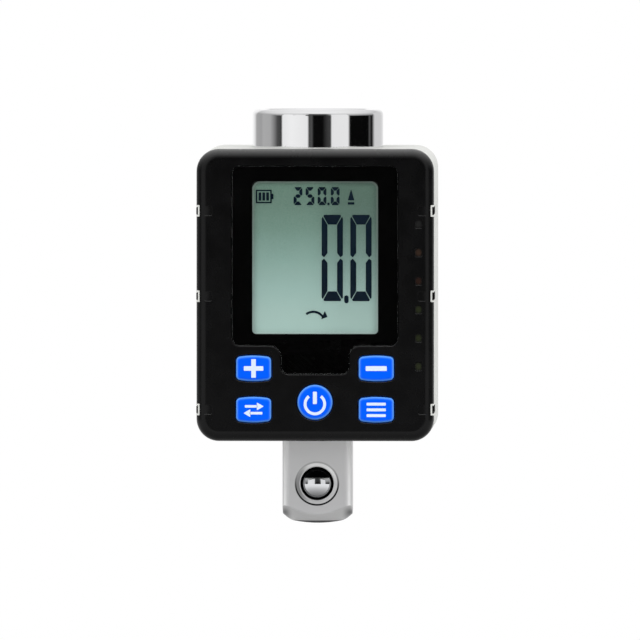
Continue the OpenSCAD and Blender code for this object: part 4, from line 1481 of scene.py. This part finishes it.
@dataclass
class Keypad:
    """Five blue caps with their white signs.

    A triple is a rounded box: its width, its height and its corner radius.
    """

    face: float = -20.56
    face_edge: float = 0.7
    sign_front: float = -20.6
    width: float = 6.4
    height: float = 4.7
    side_height: float = 4.05
    corner: float = 0.8
    power_radius: float = 3.2
    hole_end: float = -17.5
    gap: float = 0.2
    flange: float = 0.35
    flange_front: float = -18.1
    flange_back: float = -17.4
    stem_radius: float = 1.2
    stem_end: float = -16.2
    places: dict[Key, Pair] = field(default_factory=lambda: {
        Key.INCREASE: (-11.2, -46.95), Key.DECREASE: (11.2, -46.95), Key.UNIT: (-11.2, -54.5),
        Key.MODE: (11.2, -54.5), Key.POWER: (0.0, -53.15)})
    plus_half: Pair = (1.775, 1.7)
    plus_bar: float = 0.415
    minus: Triple = (3.84, 0.88, 0.12)
    arrow: Triple = (2.3, 0.46, 0.08)
    arrow_level: float = 0.62
    arrow_shift: float = 0.45
    arrow_head: Triple = (0.6, 1.85, 0.72)
    line: Triple = (3.5, 0.52, 0.1)
    line_shifts: Triple = (-1.05, 0.0, 1.05)
    ring_radius: float = 2.05
    ring_width: float = 0.53
    ring_gap: float = 38.0
    ring_drop: float = 0.3
    ring_bar: Triple = (0.73, 2.26, 0.12)

    def barrel(self, centre: Pair) -> Outline:
        """Makes the outline of a cap with bowed top and bottom sides.

        Args:
            centre: Middle of the cap.

        Returns:
            The outline.
        """
        bow = (self.height - self.side_height) / 2
        radius = ((self.width / 2) ** 2 + bow ** 2) / (2 * bow)
        drop = radius - self.height / 2
        inner_x = self.width / 2 - self.corner
        inner_z = math.sqrt((radius - self.corner) ** 2 - inner_x ** 2) - drop
        tip = math.atan2(inner_z + drop, inner_x)

        def points(rim: float) -> list[Pair]:
            """Returns the outline's points.

            Args:
                rim: Distance by which the outline grows.

            Returns:
                The points, counter-clockwise.
            """
            corner = [on_circle((inner_x, inner_z), self.corner + rim, tip * step / 7)
                      for step in range(8)]
            bow_turns = [tip + (math.pi - 2 * tip) * step / 14 for step in range(1, 14)]
            bowed = [on_circle((0.0, -drop), radius + rim, turn) for turn in bow_turns]
            upper = corner + bowed + [(-u, v) for u, v in reversed(corner)]
            lower = [(-u, -v) for u, v in upper]
            return [(centre[0] + u, centre[1] + v) for u, v in upper + lower]

        return points

    def outline(self, key: Key) -> Outline:
        """Makes the outline of one cap.

        Args:
            key: The cap.

        Returns:
            The outline.
        """
        if key is not Key.POWER:
            return self.barrel(self.places[key])
        round_cap = disc(self.places[key])
        return lambda rim: round_cap(self.power_radius + rim)

    def openings(self) -> list[Form]:
        """Makes the cutter of the five holes.

        Returns:
            The cutter, alone in a list.
        """
        form = Form()
        for key in Key:
            form.stack(self.outline(key), flare(FRONT, 0.12, self.hole_end, rim=self.gap))
        return [form]

    def cap(self, key: Key) -> bpy.types.Object:
        """Builds one cap with its flange and stem.

        Args:
            key: The cap.

        Returns:
            The cap's piece.
        """
        levels = rounding(self.face, self.face_edge, 1, steps=10)
        levels += [(self.flange_front, 0.0), (self.flange_front, self.flange),
                   (self.flange_back, self.flange)]
        form = Form().stack(self.outline(key), levels)
        form.stack(disc(self.places[key], 32), [
            (self.flange_back - 0.2, self.stem_radius), (self.stem_end - 0.05, self.stem_radius),
            (self.stem_end, self.stem_radius - 0.05)])
        return form.piece(f"cap_{key.value}", key.value, "button_blue", BLUE, [f"button_{key.value}"])

    def sign_shapes(self, key: Key) -> list[Outline]:
        """Makes the outlines of one cap's white sign.

        Args:
            key: The cap.

        Returns:
            The outlines.
        """
        x, z = self.places[key]
        if key is Key.INCREASE:
            return [self.plus(x, z)]
        if key is Key.DECREASE:
            return [rounded_box(*self.minus, (x, z), steps=3)]
        if key is Key.UNIT:
            return [shape for side in (-1, 1) for shape in self.arrow_shapes(x, z, side)]
        if key is Key.MODE:
            return [rounded_box(*self.line, (x, z + shift), steps=2) for shift in self.line_shifts]
        low = z - self.ring_drop
        return [arc_band((x, low), self.ring_radius, self.ring_width, 90 + self.ring_gap,
                         450 - self.ring_gap),
                rounded_box(*self.ring_bar, (x, low + self.ring_bar[1] / 2), steps=3)]

    def arrow_shapes(self, x: float, z: float, side: int) -> list[Outline]:
        """Makes the shaft and the head of one arrow of the exchange sign.

        Args:
            x: Middle of the cap across.
            z: Middle of the cap in height.
            side: 1 for the upper arrow, which points to the right, and -1 for the lower one.

        Returns:
            The two outlines.
        """
        level, (back, tip, half) = z + side * self.arrow_level, self.arrow_head
        head = [(x + side * back, level - side * half), (x + side * tip, level),
                (x + side * back, level + side * half)]
        return [rounded_box(*self.arrow, (x - side * self.arrow_shift, level), steps=2), polygon(head)]

    def plus(self, x: float, z: float) -> Outline:
        """Makes the outline of a plus sign.

        Args:
            x: Its middle across.
            z: Its middle in height.

        Returns:
            The outline.
        """
        (wide, high), bar = self.plus_half, self.plus_bar
        turn = [(wide, -bar), (wide, bar), (bar, bar), (bar, high), (-bar, high), (-bar, bar),
                (-wide, bar), (-wide, -bar), (-bar, -bar), (-bar, -high), (bar, -high), (bar, -bar)]
        return polygon([(x + u, z + v) for u, v in turn], 0.08, 2)

    def sign(self, key: Key) -> bpy.types.Object:
        """Builds the white sign of one cap.

        Args:
            key: The cap.

        Returns:
            The sign.
        """
        form = Form()
        for shape in self.sign_shapes(key):
            form.stack(shape, [(self.sign_front, 0.0), (self.face + 0.05, 0.0)])
        return form.piece(f"sign_{key.value}", key.value, "button_blue", SIGN)


@dataclass
class Lights:
    """Six small tinted windows of the progress lights, from the top down."""

    x: float = 18.9
    top: float = -20.6
    pitch: float = 5.2
    box: Triple = (1.3, 1.5, 0.2)
    front: float = -19.96
    hole_end: float = -17.5
    foot: float = 0.3
    foot_front: float = -18.2
    foot_back: float = -17.7
    tints: tuple[Colour, ...] = (tone(26, 26, 26), tone(42, 29, 21), tone(38, 22, 16),
                                 tone(31, 36, 18), tone(32, 37, 18), tone(30, 34, 18))

    def place(self, index: int) -> Pair:
        """Returns the middle of one light."""
        return self.x, self.top - self.pitch * index

    def openings(self) -> list[Form]:
        """Makes the cutter of the six holes.

        Returns:
            The cutter, alone in a list.
        """
        form = Form()
        for index in range(len(self.tints)):
            form.stack(rounded_box(*self.box, self.place(index), steps=3),
                       flare(FRONT, 0.06, self.hole_end, rim=0.03))
        return [form]

    def window(self, index: int) -> bpy.types.Object:
        """Builds one light window with its foot.

        Args:
            index: The light's number from the top, from 0.

        Returns:
            The window.
        """
        levels = rounding(self.front, 0.15, 1, steps=3)
        levels += [(self.foot_front, 0.0), (self.foot_front, self.foot), (self.foot_back, self.foot)]
        finish = SmokedTint(
            f"light_tint_{index + 1}", self.tints[index], roughness=0.26, uneven=0.03, mottle=0.15,
            relief=0.0009, wear=0.0, specular=0.2, middle=self.place(index))
        return Form().stack(rounded_box(*self.box, self.place(index), steps=3), levels).piece(
            f"light_window_{index + 1}", "tool", "light_smoke", finish, ["light_windows"])


def curve(start: Vector, first: Vector, second: Vector, end: Vector, steps: int = 36) -> list[Vector]:
    """Gives the points of a smooth curve between two ends.

    Args:
        start: Where it starts.
        first: Where it heads from its start.
        second: Where it comes from at its end.
        end: Where it ends.
        steps: Number of chords.

    Returns:
        The points.
    """
    points = []
    for step in range(steps + 1):
        t = step / steps
        points.append((1 - t) ** 3 * start + 3 * t * (1 - t) ** 2 * first
                      + 3 * t ** 2 * (1 - t) * second + t ** 3 * end)
    return points


def coil(turns: int, place: Callable[[float, float], Vector]) -> list[Vector]:
    """Gives the points of a coil.

    Args:
        turns: Number of turns.
        place: Gives a point by its turn in radians and its share of the way.

    Returns:
        The points.
    """
    steps = turns * COIL_STEPS
    return [place(FULL_TURN * turns * step / steps, step / steps) for step in range(steps + 1)]


@dataclass
class Drive:
    """Spring behind the ball, and the leads of the gauges on the steel shaft."""

    ball_height: float = -68.5
    ball_travel: float = 1.0
    spring_back: float = 2.3
    spring_length: float = 4.07
    spring_radius: float = 2.1
    spring_wire: float = 0.22
    spring_turns: int = 4
    lead_radius: float = 0.25
    lead_places: tuple[float, ...] = (-1.95, -0.65, 0.65, 1.95)
    lead_path: tuple[Pair, ...] = ((-7.0, -33.35), (-7.0, -40.35), (-10.0, -40.35), (-13.0, -40.35))

    def spring(self) -> bpy.types.Object:
        """Builds the coil behind the ball at one fixed length; the real coil shortens as the ball goes
        in.

        Returns:
            The spring.
        """
        start, run = self.spring_back - self.spring_wire, self.spring_length - 2 * self.spring_wire

        def place(turn: float, share: float) -> Vector:
            """Returns a point of the coil."""
            x, z = on_circle((0.0, self.ball_height), self.spring_radius, turn)
            return Vector((x, start - run * share, z))

        made = Form().tube(coil(self.spring_turns, place), self.spring_wire).piece(
            "ball_spring", "tool", "spring_steel", SPRING, ["detent_spring"])
        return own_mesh(made)

    def leads(self) -> bpy.types.Object:
        """Builds the four thin leads from the front gauge to the board.

        Returns:
            The leads as one piece.
        """
        form = Form()
        for x in self.lead_places:
            form.tube(curve(*(Vector((x, y, z)) for y, z in self.lead_path)), self.lead_radius, 10)
        return form.piece("gauge_wires", "tool", "red_lead", LEAD_RED, ["gauge_leads"])


@dataclass
class Power:
    """Contact springs and leads of the cells."""

    cell_x: float = 14.6
    cell_y: float = 12.0
    wide: float = 3.2
    narrow: float = 2.4
    wire: float = 0.3
    turns: int = 3
    rise: float = 4.1
    feet: Pair = (-58.1, -9.1)
    lead_radius: float = 0.5
    lead_x: float = 13.0
    lead_path: tuple[Pair, ...] = ((4.2, -57.6), (-3.0, -57.6), (-7.0, -54.8), (-13.0, -54.8))

    def springs(self) -> bpy.types.Object:
        """Builds the two conical contact springs.

        Returns:
            The springs as one piece.
        """
        form = Form()
        for side, foot in zip((-1, 1), self.feet):
            form.tube(coil(self.turns, lambda turn, share: self.spring_point(side, foot, turn, share)),
                      self.wire)
        return form.piece("cell_springs", "tool", "contact_nickel", SPRING, ["contact_springs"])

    def spring_point(self, side: int, foot: float, turn: float, share: float) -> Vector:
        """Gives a point of a conical spring.

        Args:
            side: 1 for the right spring, which points down, and -1 for the left one.
            foot: Height of its wide end.
            turn: The point's turn in radians.
            share: Its share of the way from the wide end.

        Returns:
            The point.
        """
        radius = self.wide + (self.narrow - self.wide) * share
        height = self.wire + (self.rise - 2 * self.wire) * share
        x, y = on_circle((side * self.cell_x, self.cell_y), radius, turn)
        return Vector((x, y, foot - side * height))

    def leads(self) -> bpy.types.Object:
        """Builds the two leads from the contacts to the board.

        Returns:
            The leads as one piece.
        """
        form = Form()
        for x in (-self.lead_x, self.lead_x):
            form.tube(curve(*(Vector((x, y, z)) for y, z in self.lead_path)), self.lead_radius)
        return form.piece("power_wires", "tool", "red_lead", LEAD_RED, ["power_leads"])


@dataclass
class Dresser:
    """Gives the CAD nodes that keep their shapes a finish each."""

    finishes: dict[str, Finish] = field(default_factory=lambda: {
        "drive_shaft": CHROME, "detent_ball": BALL, "strain_gauges": FOIL, "upper_seal": RUBBER,
        "retaining_ring": RING_STEEL, "thrust_washer": BRONZE, "rear_housing": SHELL,
        "window_mask": MASK, "lcd_glass": DISPLAY, "lcd_frame": FRAME, "zebra_strip": ZEBRA,
        "main_board": BOARD, "main_chip": CHIP, "amplifier_chip": CHIP, "chip_parts": PARTS,
        "led_chips": GLOW, "tact_switches": SWITCH, "buzzer": BUZZER, "board_screws": SCREW_STEEL,
        **{f"plunger_{key.value}": PLUNGER for key in Key}, "cells": SLEEVE,
        "bridge_contact": NICKEL, "end_contacts": NICKEL, "screw_insert": BRASS,
        "door_screw": SCREW_STEEL, "screw_keeper": KEEPER})

    def dress(self, nodes: dict[str, bpy.types.Object]) -> None:
        """Assigns every finish to its node's material slots.

        Args:
            nodes: The frame's nodes by name.
        """
        for name, finish in self.finishes.items():
            for slot in nodes[name].material_slots:
                slot.material = finish.material()
            LOG.info("dressed %s with %s", name, finish.name)


@dataclass
class Studio:
    """Camera, lamps, world and floor.

    The camera's distance and the lamps' places and sizes are in metres, their powers in watts, the
    floor's fades in metres, and the panels' bearings in degrees, from -180 at the object's back.
    """

    aim: Triple = (0.39, 0.0, -38.69)
    distance: float = 4.0
    azimuth: float = 1.52
    elevation: float = 1.66
    view_width: float = 117.45
    sensor: float = 36.0
    lamp_table: tuple[tuple[str, Triple, float, float], ...] = (
        ("key", (-0.7, -0.9, 0.9), 0.7, 4.8), ("fill", (0.9, -0.7, 0.3), 0.7, 3.9),
        ("low", (-0.9, -0.8, 0.1), 0.6, 1.7), ("back", (0.3, 1.0, 0.9), 0.8, 1.8))
    panels: tuple[Pair, ...] = (
        (-180, 1.0), (-156, 1.0), (-144, 0.77), (-137, 0.42), (-118, 0.39), (-111, 0.46),
        (-92, 0.44), (-84, 0.28), (-75, 0.08), (-66, 0.05), (-64, 0.92), (-46, 1.0),
        (-16.5, 0.92), (-14.5, 0.06), (-9, 0.09), (-6.5, 0.003), (10, 0.003), (20, 0.05),
        (24, 0.05), (26, 0.9), (56.5, 0.92), (60, 0.002), (102, 0.002), (106, 0.10),
        (110, 0.004), (114, 0.02), (122, 0.70), (150, 0.70), (180, 1.0))
    panel_fade: Pair = (0.3, 0.8)
    roof: tuple[Pair, ...] = ((0.0, 0.0), (0.17, 0.34), (0.56, 0.75), (1.0, 1.0))
    ahead_bearings: Pair = (0.25, 0.6)
    ahead_heights: Pair = (0.5, 0.75)
    ahead_dimness: float = 0.92
    soft_heights: Pair = (-0.2, 0.15)
    soft_levels: Pair = (0.15, 1.0)
    floor_level: float = -136.0
    floor_radius: float = 0.95
    floor_white: float = 0.96
    floor_shadow_fade: Pair = (0.1, 0.6)
    mirror_shadow_fade: Pair = (0.0, 0.25)
    mirror_level: Pair = (0.12, 0.85)
    # painted shadow: the floor's tone near the middle, under the object
    floor_shadow_tone: Colour = tone(170, 170, 170)
    floor_far: Colour = tone(235, 235, 235)

    def camera(self) -> None:
        """Sets the camera at the photograph's angle."""
        data = bpy.data.cameras.new("camera")
        data.sensor_width = self.sensor
        data.lens = data.sensor_width * self.distance / (self.view_width * MM)
        data.clip_end = 20.0
        made = stand("camera", data)
        turn, rise = math.radians(self.azimuth), math.radians(self.elevation)
        level = math.cos(rise)
        toward = Vector((math.sin(turn) * level, -math.cos(turn) * level, math.sin(rise)))
        made.location = Vector(self.aim) * MM + toward * self.distance
        made.rotation_euler = (-toward).to_track_quat("-Z", "Y").to_euler()
        bpy.context.scene.camera = made

    def lamps(self) -> None:
        """Adds soft lamps that face the object and don't show in what is glossy."""
        for name, place, size, power in self.lamp_table:
            data = bpy.data.lights.new(name, "AREA")
            data.size = size
            data.energy = power
            made = stand(name, data)
            made.location = place
            toward = Vector(self.aim) * MM - made.location
            made.rotation_euler = toward.to_track_quat("-Z", "Y").to_euler()
            made.visible_glossy = False

    def world(self) -> None:
        """Makes the surroundings: white to the eye, studio panels to metal, even light to the rest."""
        made = bpy.data.worlds.new("studio")
        bpy.context.scene.world = made
        made.use_nodes = True
        graph = Graph(made.node_tree)
        across, along, up = graph.parts(graph.place("Generated"))
        bearing = across.math("ARCTAN2", across, along * -1.0)
        stops = [((angle + 180) / 360, grey(level)) for angle, level in self.panels]
        bands = graph.ramp(stops, bearing * (1 / FULL_TURN) + 0.5)
        lift = graph.ramp([(share, grey(level)) for share, level in self.roof], up)
        ahead = (1 - abs(bearing).spread(*self.ahead_bearings)) * (1 - up.spread(*self.ahead_heights))
        walls = bands * (1 - up.spread(*self.panel_fade))
        studio = walls.most(lift * (1 - ahead * self.ahead_dimness))
        soft = up.spread(*self.soft_heights, *self.soft_levels)
        seen, glossy = graph.rays()
        level = seen + (1 - seen) * (glossy * studio + (1 - glossy) * soft)
        shader = graph.node("ShaderNodeBackground", None, {"Color": WHITE, "Strength": level})
        graph.node("ShaderNodeOutputWorld", None, {"Surface": graph.out(shader)})

    def floor(self) -> None:
        """Lays the pale floor below the object, with a painted shadow that darkens it towards the
        middle, in its own colour and as metal sees it.
        """
        levels = [(0.0, self.floor_radius), (-0.01, self.floor_radius)]
        form = Form().stack(disc(steps=96), levels, Axis.Z)
        mesh = bpy.data.meshes.new("floor")
        form.mesh.to_mesh(mesh)
        form.mesh.free()
        made = stand("floor", mesh)
        made.location = (0.0, 0.0, self.floor_level * MM)
        paint, graph = painted("floor_pale")
        across, along, _ = graph.parts(graph.place("Object"))
        reach = across.span(along)
        # painted shadow: the floor is darker near the middle, under the object
        shade = graph.mix(reach.spread(*self.floor_shadow_fade), self.floor_shadow_tone, self.floor_far)
        pale = graph.node("ShaderNodeBsdfPrincipled", None, {
            "Base Color": shade, "Roughness": 0.9, "Specular IOR Level": 0.0})
        glow = graph.node("ShaderNodeEmission", None, {"Strength": 1.0})
        seen, glossy = graph.rays()
        # painted shadow in reflections: glossy rays see the floor dim near the middle
        mirrored = glossy * reach.spread(*self.mirror_shadow_fade, *self.mirror_level)
        both = graph.node("ShaderNodeMixShader", None, {
            0: (seen * self.floor_white).most(mirrored), 1: graph.out(pale), 2: graph.out(glow)})
        graph.node("ShaderNodeOutputMaterial", None, {"Surface": graph.out(both)})
        mesh.materials.append(paint)


def main() -> None:
    """Builds and dresses the whole adapter and its studio."""
    logging.basicConfig(level=logging.INFO, format="%(message)s")
    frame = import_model()
    studio = Studio()
    studio.camera()
    studio.world()
    studio.lamps()
    studio.floor()
    case, display, keypad, lights = CaseShell(), Display(), Keypad(), Lights()
    case.cover([*display.openings(), *keypad.openings(), *lights.openings()])
    case.fixings()
    case.door()
    display.pane()
    display.figures()
    for key in Key:
        keypad.cap(key)
        keypad.sign(key)
    for index in range(len(lights.tints)):
        lights.window(index)
    drive, power = Drive(), Power()
    drive.spring()
    drive.leads()
    power.springs()
    power.leads()
    Dresser().dress(frame["nodes"])
    bpy.context.scene.view_settings.view_transform = "Standard"


if __name__ == "__main__":
    main()
